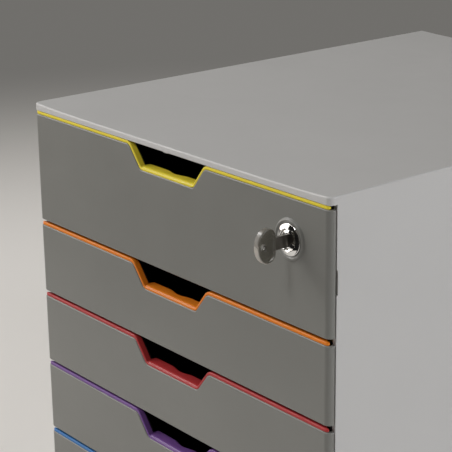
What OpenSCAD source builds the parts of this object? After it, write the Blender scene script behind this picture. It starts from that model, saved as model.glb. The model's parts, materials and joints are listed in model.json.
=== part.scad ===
// Desktop drawer tower: one tall and four low drawers in an open-fronted plastic housing.
// The front looks towards -Y, the top faces +Z, and the origin lies on the resting plane,
// under the middle of the housing. All sizes are millimetres.

/* [Housing] */
// Outer width of the housing
body_w = 280; // [260:1:320]
// Outer depth of the housing, drawer fronts included
body_d = 356; // [320:1:400]
// Thickness of the side walls
wall = 2.6; // [2:0.1:3.2]
// Thickness of the top skin
top_skin = 2.6; // [2:0.1:3.2]
// Height of the strip along the front of the top
top_strip_h = 4.8; // [4:0.1:7]
// Thickness of that strip, front to back
top_strip_t = 2.8; // [2:0.1:4]
// Width of the centring nib under that strip
nib_w = 4; // [2:0.5:8]
// Height of the nib
nib_h = 0.5; // [0.2:0.1:0.6]
// Plan radius of the two front corners
corner_r = 4; // [2.5:0.5:5]
// Plan radius of the two rear corners
rear_corner_r = 2; // [1:0.5:2.5]
// Gap between a drawer's wrapped end and the side wall
shut_gap = 0.8; // [0.5:0.1:1.5]
// Height of the latch notch in the right wall's front edge
side_notch_h = 13.5; // [8:0.5:20]
// Depth of the latch notch
side_notch_d = 0.8; // [0.4:0.1:2.5]
// Distance of the latch notch's upper end under the lock's axis
side_notch_drop = 10.4; // [6:0.1:20]
// Height of the strip along the front of the base
base_strip_h = 8.3; // [7:0.1:12]
// Thickness of the base floor
base_floor = 2.6; // [2:0.1:3.5]
// Height of the base's cross ribs over its floor
base_rib_h = 3.2; // [2:0.1:4]
// Distance of the base's outer screws from the front and the rear
base_screw_inset = 60; // [45:1:90]
// How far the rear panel lies inside the rear edges
rear_inset = 3; // [2.5:0.1:5]
// Thickness of the rear panel
rear_t = 2.4; // [2:0.1:3]

/* [Feet] */
// Height of the rubber feet under the base
foot_h = 4; // [3:0.5:8]
// Diameter of a rubber foot
foot_d = 18; // [12:1:24]
// Distance from a foot's centre to the sides and ends
foot_inset = 24; // [18:1:40]
// Depth of the recess that holds a foot
foot_seat = 1.2; // [0.8:0.1:1.6]

/* [Drawer fronts] */
// Height of the tall top drawer's front panel
tall_panel_h = 70.9; // [64:0.1:90]
// Height of a low drawer's front panel
low_panel_h = 46; // [42:0.1:60]
// Gap from one front panel to the next
panel_gap = 3.8; // [3.2:0.1:6]
// Gap between the top strip and the top front panel
top_gap = 2.4; // [2.4:0.1:4]
// Gap between the base strip and the bottom front panel
base_gap = 2.4; // [1.5:0.1:4]
// Thickness of a front panel
panel_t = 2.0; // [1.6:0.1:2.6]
// Thickness of the coloured frame behind a front panel
frame_t = 2.0; // [1.6:0.1:2.6]
// How far the coloured frame rises over the front panel
frame_rise = 2.1; // [1:0.1:2.1]
// How far the coloured frame's ends lie inside the front panel's ends
frame_end = 3.0; // [2.6:0.1:6]
// Bare edge of the front panel under the coloured frame
frame_foot = 1.6; // [1:0.1:4]

/* [Finger notch] */
// Width of the notch at the panel's top edge
notch_top_w = 72.5; // [60:0.5:90]
// Width of the notch at its bottom
notch_bottom_w = 51; // [36:0.5:58]
// Depth of the notch under the panel's top edge
notch_depth = 13.5; // [10:0.5:16]
// Radius of the notch's bottom corners
notch_bottom_r = 4; // [3:0.5:6]
// Radius of the panel's corners beside the notch
notch_top_r = 5; // [3:0.5:8]
// Thickness of the coloured bead in the notch
liner_t = 1.4; // [1:0.1:2]
// How far the bead's face lies behind the panel's face
liner_inset = 0.4; // [0.2:0.1:0.8]
// Depth of the grip ledge from the panel's face
ledge_d = 10.4; // [9.5:0.1:16]
// Height of the ledge's turned-down rear lip
ledge_lip_h = 4.4; // [3.4:0.1:6]
// Width of the scoop in the ledge's rear edge
scoop_w = 19; // [12:1:28]
// How far the scoop cuts into that edge, seen from above
scoop_in = 2; // [0.8:0.1:2.4]

/* [Drawer trays] */
// Wall thickness of a tray
tray_wall = 1.8; // [1.5:0.1:2.4]
// Thickness of a tray's floor
tray_floor = 1.8; // [1.5:0.1:2.4]
// Thickness of the tray's front flange
tray_front_t = 2.2; // [1.8:0.1:3]
// Plan radius of a tray's rear corners
tray_corner_r = 3; // [2.5:0.5:12]
// How far a tray's floor lies over its front panel's lower edge
tray_lift = 2.5; // [2:0.1:5]
// How far a tray's rim lies under its front panel's upper edge
tray_drop = 4; // [3.6:0.1:8]
// Gap between a tray and the rear panel
tray_rear_gap = 5; // [3:0.5:10]
// Thickness of a tray's side flange
flange_t = 2; // [1.6:0.1:2.6]
// Height of the stop lug on a side flange
lug_h = 1.5; // [1:0.1:2]
// Length of the stop lug
lug_l = 6; // [4:0.5:10]
// Diameter of the pins that stake the front panel to its tray
pin_d = 4; // [3:0.5:5]
// Distance of the pins from the coloured frame's ends
pin_end = 7; // [6:0.5:12]
// Distance of the lower pins over the front panel's lower edge
pin_low = 9; // [7:0.5:12]
// Distance of the upper pins under the front panel's upper edge
pin_high = 13; // [10:0.5:16]

/* [Runner rails] */
// Travel of every drawer from shut to its stop
travel = 240; // [180:1:250]
// Distance from the side wall to a rail's web
rail_standoff = 5.5; // [4.5:0.1:8]
// Thickness of a rail's web
rail_web = 2; // [1.6:0.1:2.4]
// Thickness of a rail's lower ledge
ledge_t = 2.2; // [1.8:0.1:3]
// Thickness of a rail's upper guide
guide_t = 1.6; // [1.2:0.1:2]
// How far a rail's web reaches under its ledge
rail_skirt = 15; // [12:0.5:16]
// Reach of a rail's ledge and guide from its web towards the tray
rail_reach = 5.3; // [4.5:0.1:9]
// Distance of a rail's screws from its two ends
rail_screw_inset = 18; // [12:1:40]
// Length of the stop at a rail's front end
stop_l = 4; // [3:0.5:8]
// Gap between a drawer's front flange and the rails
rail_front_gap = 2.6; // [2:0.1:4]
// Gap between the rails' rear ends and the rear panel
rail_rear_gap = 17; // [15:0.5:30]
// Vertical running gap between flange and rail
run_gap = 0.3; // [0.2:0.05:0.5]
// Sideways running gap between tray and rail
side_gap = 0.6; // [0.4:0.05:1]

/* [Lock] */
// Distance of the lock's axis from the housing's right side
lock_side = 31.2; // [26:0.1:50]
// Distance of the lock's axis under the top
lock_drop = 30; // [28:0.5:34]
// Diameter of the moulded ring round the lock
lock_ring_d = 23.2; // [22:0.1:28]
// Height of that ring over the panel
lock_ring_h = 1.2; // [0.6:0.1:2]
// Diameter of the lock's chromed bezel
bezel_d = 18; // [17.6:0.1:20]
// Height of the bezel over the panel
bezel_h = 2.2; // [1.5:0.1:3]
// Diameter of the lock's barrel
barrel_d = 16; // [15:0.5:17]
// Length of the barrel behind the panel's face
barrel_l = 26; // [22:0.5:32]
// Diameter of the turning plug
plug_d = 11.8; // [10:0.1:12.5]
// Running gap round the plug
plug_gap = 0.05; // [0.03:0.01:0.1]
// Width of the lock nut across its flats
nut_w = 20; // [19:0.5:22]
// Thickness of the lock nut
nut_t = 3.5; // [2.5:0.5:6]
// Reach of the cam from the lock's axis
cam_l = 25; // [24:0.1:25.4]
// Width of the cam
cam_w = 10; // [8:0.5:12]
// Thickness of the cam
cam_t = 2; // [1.5:0.1:3]
// Thickness of the strike plate that the cam turns behind
strike_t = 1.5; // [1.2:0.1:2]
// Width of the strike plate
strike_w = 28; // [24:1:32]
// Length of the strike plate, front to back
strike_l = 12; // [10:0.5:16]
// Side of the plug's square end that carries the cam
square_w = 6; // [5:0.5:7]
// Diameter of the cam's round end on the plug
cam_hub_d = 13; // [12:0.5:15]
// Diameter of the cam screw's shank
cam_screw_d = 3.9; // [3:0.1:4.2]
// Diameter of the cam screw's head
cam_head_d = 9; // [8:0.5:11]
// Height of the cam screw's head
cam_head_h = 2.4; // [1.8:0.1:3]
// Gap between the cam and the strike plate
cam_gap = 0.5; // [0.3:0.1:1]
// Length of the bosses that carry the strike plate
strike_boss_l = 4.5; // [3.5:0.1:4.8]

/* [Key] */
// Thickness of the key's blade
blade_t = 2; // [1.6:0.1:2.4]
// Height of the key's blade
blade_h = 7; // [5:0.5:8]
// Length of the blade inside the plug
blade_in = 21; // [16:0.5:22]
// Length of the blade inside the bow
blade_root = 5; // [4:0.1:5.6]
// Gap between the panel's face and the key's bow
bow_out = 11; // [7:0.1:14]
// Length of the bow along the key
bow_l = 12.5; // [11.5:0.1:14]
// Distance from the bow's outer end to where it is highest
bow_round = 7.2; // [6.4:0.1:8.5]
// Height of the bow
bow_h = 19.4; // [18:0.1:26]
// Thickness of the bow
bow_t = 4; // [3.6:0.1:5]
// Diameter of the key-ring hole
ring_hole_d = 4.2; // [3:0.1:4.6]
// Distance of that hole from the bow's outer end
ring_hole_in = 4; // [3.8:0.1:4.6]
// Width of the raised rim round the bow's faces
bow_rim = 1.6; // [1.2:0.1:2]
// Depth of the bow's faces under that rim
bow_sink = 0.4; // [0.2:0.1:0.6]

/* [Screws] */
// Outer diameter of the screws' shanks
screw_d = 2.9; // [2.5:0.1:3.2]
// Diameter of the screws' pan heads
screw_head_d = 5.6; // [5:0.1:6]
// Height of the screws' pan heads
screw_head_h = 1.8; // [1.4:0.1:2]
// Diameter of the bosses that take the screws
boss_d = 7.4; // [6.6:0.1:8]
// Length of a screw's shank inside its boss
screw_grip = 6; // [4:0.5:6]
// Gap between pieces that slip together
slip = 0.1; // [0.05:0.01:0.15]

/* [Hidden] */

$fn = 64;
// Overlap that makes cuts and unions clean
eps = 0.5;
// Steps in each rounded corner of an outline, and round the key's bow
arc_steps = 8;
oval_steps = 72;

// Colours
housing_grey = [0.70, 0.70, 0.69];
panel_grey = [0.40, 0.40, 0.38];
tray_black = [0.09, 0.09, 0.09];
rail_grey = [0.55, 0.55, 0.54];
rubber_black = [0.12, 0.12, 0.12];
chrome = [0.85, 0.85, 0.83];
zinc = [0.70, 0.71, 0.72];
brass = [0.75, 0.66, 0.42];
smoke = [0.35, 0.34, 0.31];
grip_colours = [
    [0.93, 0.82, 0.25], [0.93, 0.46, 0.13], [0.74, 0.20, 0.22], [0.42, 0.28, 0.55], [0.10, 0.42, 0.70]
];

// Rows of drawers, counted from the top: panel heights and the height of each lower edge
panel_hs = [tall_panel_h, low_panel_h, low_panel_h, low_panel_h, low_panel_h];
rows = len(panel_hs);
function panel_z(i) = i == rows ? foot_h + base_strip_h + base_gap
    : panel_z(i + 1) + panel_hs[i] + panel_gap;
function panel_top(i) = panel_z(i) + panel_hs[i - 1];
function rim_z(i) = panel_top(i) - tray_drop;
body_h = panel_top(1) + top_gap + top_strip_h;

// Front-to-back places
front_y = -body_d / 2;
back_y = body_d / 2;
wall_front_y = front_y + corner_r + shut_gap;
frame_y = front_y + panel_t;
tray_y = frame_y + frame_t;
flange_back_y = tray_y + tray_front_t;
rear_panel_y = back_y - rear_inset - rear_t;
tray_back_y = rear_panel_y - tray_rear_gap;
rail_y = flange_back_y + rail_front_gap;
rail_back_y = rear_panel_y - rail_rear_gap;
stop_y = rail_y + stop_l;
lug_y = stop_y + travel + run_gap;

// Sideways places
inner_x = body_w / 2 - wall;
web_x = inner_x - rail_standoff;
rail_x = web_x - rail_web;
ledge_x = rail_x - rail_reach;
flange_x = rail_x - side_gap;
tray_x = ledge_x - side_gap;

// Room at the ends of the base's cross ribs for the screw bosses
rib_end = boss_d + 6;

// Gap between a boss and its side wall, and the web that bridges it
boss_stand = 1;
boss_web = 2;

// Room round the bead where the notch carries on through the tray's front
notch_room = 0.3;
// How far the tray's front flange lies inside the coloured frame
tray_front_inset = 1;
// How far the stake pins stand out behind that flange
pin_head = 1.2;
// Bevel on the edge that a foot stands on
foot_bevel = 1;

// Screw places
boss_hole_d = screw_d + slip;
rail_screw_ys = [rail_y + rail_screw_inset, rail_back_y - rail_screw_inset];
rail_screw_drop = ledge_t + rail_skirt / 2 + flange_t;
side_boss_x = inner_x - boss_d / 2 - boss_stand;
base_screw_ys = [front_y + base_screw_inset, 0, back_y - base_screw_inset];
rear_screw_rows = [1, 3, 5];
rear_boss_l = 2 * screw_grip;

// Play of the cam behind the barrel, of the key in its keyway, and of the plug's face in the bezel
cam_play = 0.4;
key_play = 0.4;
plug_sink = 0.4;

// Lock places
lock_x = body_w / 2 - lock_side;
lock_z = body_h - lock_drop;
cam_y = front_y + barrel_l + cam_play;
strike_end = 5;
strike_bite = 0.6;
strike_room = 0.3;
strike_y = cam_y - cam_gap;
strike_z = body_h - top_skin - strike_boss_l - strike_t;
strike_screw_x = strike_w / 2 - strike_end;
strike_screw_y = strike_y - strike_t - (strike_l - strike_t) / 2;
strike_grip = strike_boss_l + strike_bite;
plug_front_y = front_y - bezel_h;
key_slot_t = blade_t + key_play;
key_slot_h = blade_h + key_play;
bow_back_y = front_y - bow_out;
// Depth of the plug's tapped hole, and of the cam screw in it
cam_hole_l = 3;
cam_screw_l = 2.5;

// Plan outline of a closed box, with its own radius at the front and rear corners
module plan_outline(x, y0, y1, r_front, r_rear) {
    translate([-x, y0 + r_front]) square([2 * x, y1 - y0 - r_front - r_rear]);
    translate([-x + r_front, y0]) square([2 * x - 2 * r_front, r_front + eps]);
    translate([-x + r_rear, y1 - r_rear - eps]) square([2 * x - 2 * r_rear, r_rear + eps]);
    for (s = [-1, 1]) {
        translate([s * (x - r_front), y0 + r_front]) circle(r_front);
        translate([s * (x - r_rear), y1 - r_rear]) circle(r_rear);
    }
}

// Cylinder along +Y from y0 to y1
module y_rod(d, y0, y1) {
    translate([0, y0, 0]) rotate([-90, 0, 0]) cylinder(d = d, h = y1 - y0);
}

// Self-tapping screw: head towards -Z, its seat at z = 0, shank upwards
module pan_screw(grip) {
    translate([0, 0, -screw_head_h]) cylinder(d = screw_head_d, h = screw_head_h);
    translate([0, 0, -eps]) cylinder(d = screw_d, h = grip + eps);
}

// Points of an arc that rounds the corner at b, between the lines a-b and b-c
function unit(v) = v / norm(v);
function rounded(a, b, c, r) =
    let (u = unit(a - b), v = unit(c - b), half = acos(u * v) / 2,
        centre = b + unit(u + v) * r / sin(half),
        start = b + u * r / tan(half) - centre, end = b + v * r / tan(half) - centre,
        a0 = atan2(start[1], start[0]), turn = atan2(end[1], end[0]) - a0,
        sweep = turn > 180 ? turn - 360 : turn < -180 ? turn + 360 : turn)
    [for (k = [0:arc_steps]) centre + r * [cos(a0 + sweep * k / arc_steps), sin(a0 + sweep * k / arc_steps)]];

// Top edge of a front from left to right, dipping into the notch. The panel's top edge is z = 0,
// the edge lies at z = top, and the notch is grow wider all round.
notch_slope = (notch_top_w - notch_bottom_w) / 2 / notch_depth;
notch_side = norm([1, notch_slope]);
function notch_half(z, grow) = notch_top_w / 2 + z * notch_slope + grow * notch_side;
function notch_edge(x, top, grow) =
    let (low = -notch_depth - grow, wide = notch_half(top, grow), narrow = notch_half(low, grow),
        r_top = notch_top_r - grow, r_low = notch_bottom_r + grow)
    concat(
        rounded([-x, top], [-wide, top], [-narrow, low], r_top),
        rounded([-wide, top], [-narrow, low], [narrow, low], r_low),
        rounded([-narrow, low], [narrow, low], [wide, top], r_low),
        rounded([narrow, low], [wide, top], [x, top], r_top)
    );

// Front view of a panel or frame: x wide each way, from z = bottom up to z = top
module front_outline(x, bottom, top, grow) {
    polygon(concat([[x, top], [x, bottom], [-x, bottom], [-x, top]], notch_edge(x, top, grow)));
}

// A front view standing up, from y0 to y1, with z = 0 at the panel's top edge of row i
module front_slab(i, y0, y1) {
    translate([0, y1, panel_top(i)]) rotate([90, 0, 0]) linear_extrude(y1 - y0) children();
}

module housing_shell() {
    color(housing_grey) difference() {
        union() {
            difference() {
                translate([0, 0, foot_h]) linear_extrude(body_h - foot_h)
                    plan_outline(body_w / 2, front_y, back_y, corner_r, rear_corner_r);
                // Room for the drawers, open at the front, the rear and below
                translate([-inner_x, front_y + top_strip_t, 0])
                    cube([2 * inner_x, body_d, body_h - top_skin]);
                // Side walls stand back from the drawer fronts
                translate([-body_w, front_y - eps, 0])
                    cube([2 * body_w, wall_front_y - front_y + eps, body_h - top_strip_h]);
            }
            translate([-nib_w / 2, front_y + liner_inset, body_h - top_strip_h - nib_h])
                cube([nib_w, top_strip_t - liner_inset, nib_h + eps]);
            housing_bosses();
        }
        housing_boss_holes();
        // Latch notch in the right wall's front edge
        translate([inner_x - eps, wall_front_y - eps, lock_z - side_notch_drop - side_notch_h])
            cube([wall + 2 * eps, side_notch_d + eps, side_notch_h]);
    }
}

module housing_bosses() {
    for (s = [-1, 1]) {
        for (i = [1:rows], y = rail_screw_ys)
            translate([s * web_x, y, rim_z(i) - rail_screw_drop])
                rotate([0, s * 90, 0]) cylinder(d = boss_d, h = rail_standoff + eps);
        for (y = base_screw_ys)
            translate([s * side_boss_x, y, foot_h + base_floor]) side_boss(s, screw_grip + 2);
        for (i = rear_screw_rows)
            translate([s * side_boss_x, rear_panel_y, panel_z(i) + panel_hs[i - 1] / 2])
                rotate([90, 0, 0]) side_boss(s, rear_boss_l);
    }
    strike_screw_places() translate([0, 0, strike_t]) cylinder(d = boss_d, h = strike_boss_l + eps);
}

// Boss along +Z, tied to the side wall by a web
module side_boss(s, h) {
    cylinder(d = boss_d, h = h);
    reach = boss_d / 2 + boss_stand + eps;
    translate([s > 0 ? 0 : -reach, -boss_web / 2, 0]) cube([reach, boss_web, h]);
}

module housing_boss_holes() {
    for (s = [-1, 1]) {
        for (i = [1:rows], y = rail_screw_ys)
            translate([s * (web_x - eps), y, rim_z(i) - rail_screw_drop])
                rotate([0, s * 90, 0]) cylinder(d = boss_hole_d, h = screw_grip + 1);
        for (y = base_screw_ys)
            translate([s * side_boss_x, y, foot_h]) cylinder(d = boss_hole_d, h = base_floor + screw_grip + 1);
        for (i = rear_screw_rows)
            translate([s * side_boss_x, rear_panel_y + eps, panel_z(i) + panel_hs[i - 1] / 2])
                rotate([90, 0, 0]) cylinder(d = boss_hole_d, h = screw_grip + 1 + eps);
    }
    strike_screw_places() cylinder(d = boss_hole_d, h = strike_t + strike_grip + strike_room);
}

module base_tray() {
    x = inner_x - slip;
    color(housing_grey) difference() {
        union() {
            translate([-x, front_y + corner_r, foot_h])
                cube([2 * x, rear_panel_y + rear_t - front_y - corner_r, base_floor]);
            // Front strip with the drawer fronts' corners
            translate([0, 0, foot_h]) linear_extrude(base_strip_h) front_plan(panel_t);
            translate([-x, front_y + corner_r - eps, foot_h]) cube([2 * x, shut_gap + 2, base_floor]);
            // Cross ribs
            for (k = [1:3])
                translate([-x + rib_end, front_y + k * body_d / 4 - base_floor / 2, foot_h])
                    cube([2 * x - 2 * rib_end, base_floor, base_floor + base_rib_h]);
        }
        for (s = [-1, 1], y = base_screw_ys)
            translate([s * side_boss_x, y, foot_h - eps]) cylinder(d = boss_hole_d, h = base_floor + 2 * eps);
        feet_places() translate([0, 0, -eps]) cylinder(d = foot_d + 2 * slip, h = foot_seat + eps);
    }
}

// Plan of a front with rounded corners and ends that wrap back, t thick
module front_plan(t) {
    difference() {
        intersection() {
            plan_outline(body_w / 2, front_y, front_y + 4 * corner_r, corner_r, corner_r);
            translate([-body_w, front_y - eps]) square([2 * body_w, corner_r + eps]);
        }
        translate([-body_w / 2 + frame_end - slip, front_y + t])
            square([body_w - 2 * frame_end + 2 * slip, corner_r]);
    }
}

module feet_places() {
    for (sx = [-1, 1], sy = [-1, 1])
        translate([sx * (body_w / 2 - foot_inset), sy * (body_d / 2 - foot_inset), foot_h]) children();
}

module rubber_feet() {
    color(rubber_black) feet_places() {
        translate([0, 0, -foot_h + foot_bevel]) cylinder(d = foot_d, h = foot_h - foot_bevel + foot_seat);
        translate([0, 0, -foot_h]) cylinder(d1 = foot_d - 2 * foot_bevel, d2 = foot_d, h = foot_bevel);
    }
}

module rear_panel() {
    x = inner_x - slip;
    z0 = foot_h + base_floor + slip;
    h = body_h - top_skin - slip - z0;
    color(housing_grey) difference() {
        translate([-x, rear_panel_y, z0]) cube([2 * x, rear_t, h]);
        for (s = [-1, 1], i = rear_screw_rows)
            translate([s * side_boss_x, 0, panel_z(i) + panel_hs[i - 1] / 2])
                y_rod(boss_hole_d, rear_panel_y - eps, rear_panel_y + rear_t + eps);
    }
}

module base_screws() {
    color(zinc) for (s = [-1, 1], y = base_screw_ys)
        translate([s * side_boss_x, y, foot_h]) pan_screw(base_floor + screw_grip);
}

module rear_screws() {
    color(zinc) for (s = [-1, 1], i = rear_screw_rows)
        translate([s * side_boss_x, rear_panel_y + rear_t, panel_z(i) + panel_hs[i - 1] / 2])
            rotate([90, 0, 0]) pan_screw(rear_t + screw_grip);
}

module rail_screws() {
    color(zinc) for (s = [-1, 1], i = [1:rows], y = rail_screw_ys)
        translate([s * rail_x, y, rim_z(i) - rail_screw_drop])
            rotate([0, s * 90, 0]) pan_screw(rail_web + screw_grip);
}

// Underside of the strike plate at its two screws
module strike_screw_places() {
    for (s = [-1, 1]) translate([lock_x + s * strike_screw_x, strike_screw_y, strike_z]) children();
}

module strike_screws() {
    color(zinc) strike_screw_places() pan_screw(strike_t + strike_grip);
}

// Plate under the top with its rear edge turned up, behind which the cam turns
module lock_strike() {
    color(zinc) difference() {
        union() {
            translate([lock_x - strike_w / 2, strike_y - strike_l, strike_z])
                cube([strike_w, strike_l, strike_t]);
            translate([lock_x - strike_w / 2, strike_y - strike_t, strike_z])
                cube([strike_w, strike_t, strike_t + strike_boss_l - strike_room]);
        }
        strike_screw_places() translate([0, 0, -eps]) cylinder(d = boss_hole_d, h = strike_t + 2 * eps);
    }
}

// Rail of row i on side s: web, ledge under the tray's flange, guide over it and front stop
module runner(s, i) {
    ledge_top = rim_z(i) - flange_t - run_gap;
    guide_low = rim_z(i) + lug_h + run_gap;
    web_low = ledge_top - ledge_t - rail_skirt;
    color(rail_grey) mirror([s < 0 ? 1 : 0, 0, 0]) difference() {
        union() {
            translate([rail_x, rail_y, web_low])
                cube([rail_web, rail_back_y - rail_y, guide_low + guide_t - web_low]);
            translate([ledge_x, rail_y, ledge_top - ledge_t])
                cube([rail_x - ledge_x + eps, rail_back_y - rail_y, ledge_t]);
            translate([ledge_x, rail_y, guide_low])
                cube([rail_x - ledge_x + eps, rail_back_y - rail_y, guide_t]);
            translate([ledge_x, rail_y, rim_z(i) + run_gap])
                cube([rail_x - ledge_x + eps, stop_l, lug_h + eps]);
        }
        for (y = rail_screw_ys)
            translate([rail_x - eps, y, rim_z(i) - rail_screw_drop])
                rotate([0, 90, 0]) cylinder(d = boss_hole_d, h = rail_web + 2 * eps);
    }
}

// Plan outline of a tray, shrunk by inset on every side, square at the front
module tray_plan(inset) {
    x = tray_x - inset;
    y0 = tray_y + (inset > 0 ? tray_front_t : 0);
    y1 = tray_back_y - inset;
    r = tray_corner_r - inset;
    translate([-x, y0]) square([2 * x, y1 - r - y0]);
    translate([-x + r, y0]) square([2 * x - 2 * r, y1 - y0]);
    for (s = [-1, 1])
        translate([s * (x - r), y1 - r]) circle(r);
}

module drawer_tray(i) {
    z0 = panel_z(i) + tray_lift;
    x = body_w / 2 - frame_end - slip - tray_front_inset;
    color(tray_black) difference() {
        union() {
            translate([0, 0, z0]) linear_extrude(rim_z(i) - z0) tray_plan(0);
            translate([-x, tray_y, panel_z(i) + frame_foot + tray_front_inset])
                cube([2 * x, tray_front_t, panel_hs[i - 1] - frame_foot - 2 * tray_front_inset]);
            for (s = [-1, 1]) tray_flange(s, i);
        }
        translate([0, 0, z0 + tray_floor]) linear_extrude(panel_hs[i - 1]) tray_plan(tray_wall);
        // The notch carries on through the tray's front
        front_slab(i, tray_y - eps, flange_back_y + eps) notch_cut(slip + notch_room);
        pin_places(i) y_rod(pin_d + 2 * slip, tray_y - eps, flange_back_y + eps);
        if (i == 1) lock_place() y_rod(barrel_d + 2 * slip, tray_y - eps, flange_back_y + eps);
    }
}

// Opening of the notch, as a closed outline that reaches over the top edge
module notch_cut(grow) {
    high = frame_rise + eps;
    polygon(concat(notch_edge(body_w / 2, high, grow), [[0, high]]));
}

module tray_flange(s, i) {
    x0 = s > 0 ? tray_x - eps : -flange_x;
    w = flange_x - tray_x + eps;
    translate([x0, rail_y - rail_front_gap / 2, rim_z(i) - flange_t])
        cube([w, rail_back_y - rail_y, flange_t]);
    translate([x0, lug_y, rim_z(i) - eps]) cube([w, lug_l, lug_h + eps]);
}

module pin_places(i) {
    for (s = [-1, 1], z = [panel_z(i) + pin_low, panel_top(i) - pin_high])
        translate([s * (body_w / 2 - frame_end - pin_end), 0, z]) children();
}

module lock_place() {
    translate([lock_x, 0, lock_z]) children();
}

module grip_frame(i) {
    x = body_w / 2 - frame_end;
    bottom = -panel_hs[i - 1] + frame_foot;
    color(grip_colours[i - 1]) difference() {
        union() {
            front_slab(i, frame_y, tray_y) front_outline(x, bottom, frame_rise, -slip - liner_t);
            grip_bead(i);
            grip_ledge(i);
        }
        pin_places(i) y_rod(pin_d + 2 * slip, frame_y - eps, tray_y + eps);
        if (i == 1) lock_place() y_rod(barrel_d + 2 * slip, frame_y - eps, tray_y + eps);
    }
}

// Bead that covers the panel's top edge, dips into the notch and follows the front corners' curve
module grip_bead(i) {
    x = body_w / 2;
    low = -notch_depth - eps;
    intersection() {
        front_slab(i, front_y, frame_y + eps) difference() {
            front_outline(x, low, frame_rise, -slip - liner_t);
            front_outline(x + eps, low - eps, slip, -slip);
        }
        translate([0, 0, panel_top(i) + low]) linear_extrude(frame_rise - low + eps) intersection() {
            plan_outline(x - liner_inset, front_y + liner_inset, back_y, corner_r - liner_inset, corner_r);
            union() {
                translate([-x, front_y]) square([body_w, panel_t]);
                translate([-x + frame_end, front_y]) square([body_w - 2 * frame_end, panel_t + eps]);
            }
        }
    }
}

// Section of the grip ledge: y from the panel's face, z from the notch's bottom. It arches over
// the bead, falls gently towards the rear and turns down there into a lip for the fingertips.
ledge_nose_r = 2.2;
ledge_crest = liner_t + slip + 0.6;
ledge_fall = 0.3;
ledge_rear_r = 2.4;
ledge_lip_t = scoop_in + 1.2;
ledge_low = ledge_crest - ledge_fall - ledge_lip_h;
ledge_section = concat(
    [for (a = [180:-15:90])
        [liner_inset + ledge_nose_r * (1 + cos(a)), slip + (ledge_crest - slip) * sin(a)]],
    [for (a = [75:-15:0])
        [ledge_d - ledge_rear_r * (1 - cos(a)), ledge_crest - ledge_fall - ledge_rear_r * (1 - sin(a))]],
    [[ledge_d, ledge_low], [ledge_d - ledge_lip_t, ledge_low], [ledge_d - ledge_lip_t, -ledge_rear_r],
    [ledge_d - ledge_rear_r - 1, slip], [liner_inset, slip]]
);

module grip_ledge(i) {
    x = notch_half(-notch_depth, -slip) - 1.5;
    scoop_r = (scoop_w * scoop_w / 4 + scoop_in * scoop_in) / 2 / scoop_in;
    translate([0, front_y, panel_top(i) - notch_depth]) difference() {
        translate([-x, 0, 0]) rotate([90, 0, 90]) linear_extrude(2 * x) polygon(ledge_section);
        // Scoop for the fingertips in the middle of the rear edge
        translate([0, ledge_d - scoop_in + scoop_r, ledge_low - eps])
            cylinder(r = scoop_r, h = ledge_crest - ledge_low + 2 * eps);
    }
}

module front_panel(i) {
    color(panel_grey) difference() {
        union() {
            intersection() {
                translate([0, 0, panel_z(i)]) linear_extrude(panel_hs[i - 1]) front_plan(panel_t);
                front_slab(i, front_y - eps, front_y + corner_r + eps)
                    front_outline(body_w / 2 + eps, -panel_hs[i - 1] - eps, 0, 0);
            }
            pin_places(i) y_rod(pin_d, frame_y - eps, flange_back_y + pin_head);
            if (i == 1) lock_place() rotate([90, 0, 0]) translate([0, 0, -front_y - eps]) lock_ring();
        }
        if (i == 1) lock_place() y_rod(bezel_d + 2 * slip, front_y - lock_ring_h - eps, front_y);
        if (i == 1) lock_place() y_rod(barrel_d + 2 * slip, front_y - eps, frame_y + eps);
    }
}

// Raised ring with a rounded outer edge, along +Z from z = 0
module lock_ring() {
    rotate_extrude() {
        square([lock_ring_d / 2 - lock_ring_h, lock_ring_h + eps]);
        square([lock_ring_d / 2, eps]);
        translate([lock_ring_d / 2 - lock_ring_h, eps]) intersection() {
            circle(lock_ring_h);
            square(lock_ring_h + eps);
        }
    }
}

module lock_body() {
    color(chrome) lock_place() difference() {
        union() {
            // Bezel with a rounded edge
            translate([0, front_y, 0]) rotate([90, 0, 0]) rotate_extrude() bezel_section();
            y_rod(barrel_d, front_y - eps, front_y + barrel_l);
        }
        y_rod(plug_d + 2 * plug_gap, plug_front_y - eps, front_y + barrel_l + eps);
    }
}

module bezel_section() {
    round_r = 1;
    square([bezel_d / 2, bezel_h - round_r]);
    square([bezel_d / 2 - round_r, bezel_h]);
    translate([bezel_d / 2 - round_r, bezel_h - round_r]) circle(round_r);
}

module lock_nut() {
    color(zinc) lock_place() difference() {
        translate([0, flange_back_y, 0]) rotate([-90, 0, 0]) cylinder(d = nut_w / cos(30), h = nut_t, $fn = 6);
        y_rod(barrel_d + 2 * slip, flange_back_y - eps, flange_back_y + nut_t + eps);
    }
}

module lock_plug() {
    color(chrome) lock_place() difference() {
        union() {
            y_rod(plug_d, plug_front_y + plug_sink, cam_y);
            // Square end for the cam
            translate([-square_w / 2, cam_y - eps, -square_w / 2]) cube([square_w, cam_t + eps, square_w]);
        }
        // Keyway
        translate([-key_slot_t / 2, plug_front_y - eps, -key_slot_h / 2])
            cube([key_slot_t, bezel_h + blade_in + 1 + eps, key_slot_h]);
        y_rod(cam_screw_d + slip, cam_y - cam_hole_l, cam_y + cam_t + eps);
    }
}

module lock_cam() {
    hole = square_w + 2 * slip;
    color(zinc) lock_place() difference() {
        union() {
            y_rod(cam_hub_d, cam_y, cam_y + cam_t);
            translate([-cam_l + cam_w / 2, cam_y, -cam_w / 2]) cube([cam_l - cam_w / 2, cam_t, cam_w]);
            translate([-cam_l + cam_w / 2, 0, 0]) y_rod(cam_w, cam_y, cam_y + cam_t);
        }
        translate([-hole / 2, cam_y - eps, -hole / 2]) cube([hole, cam_t + 2 * eps, hole]);
    }
}

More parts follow.
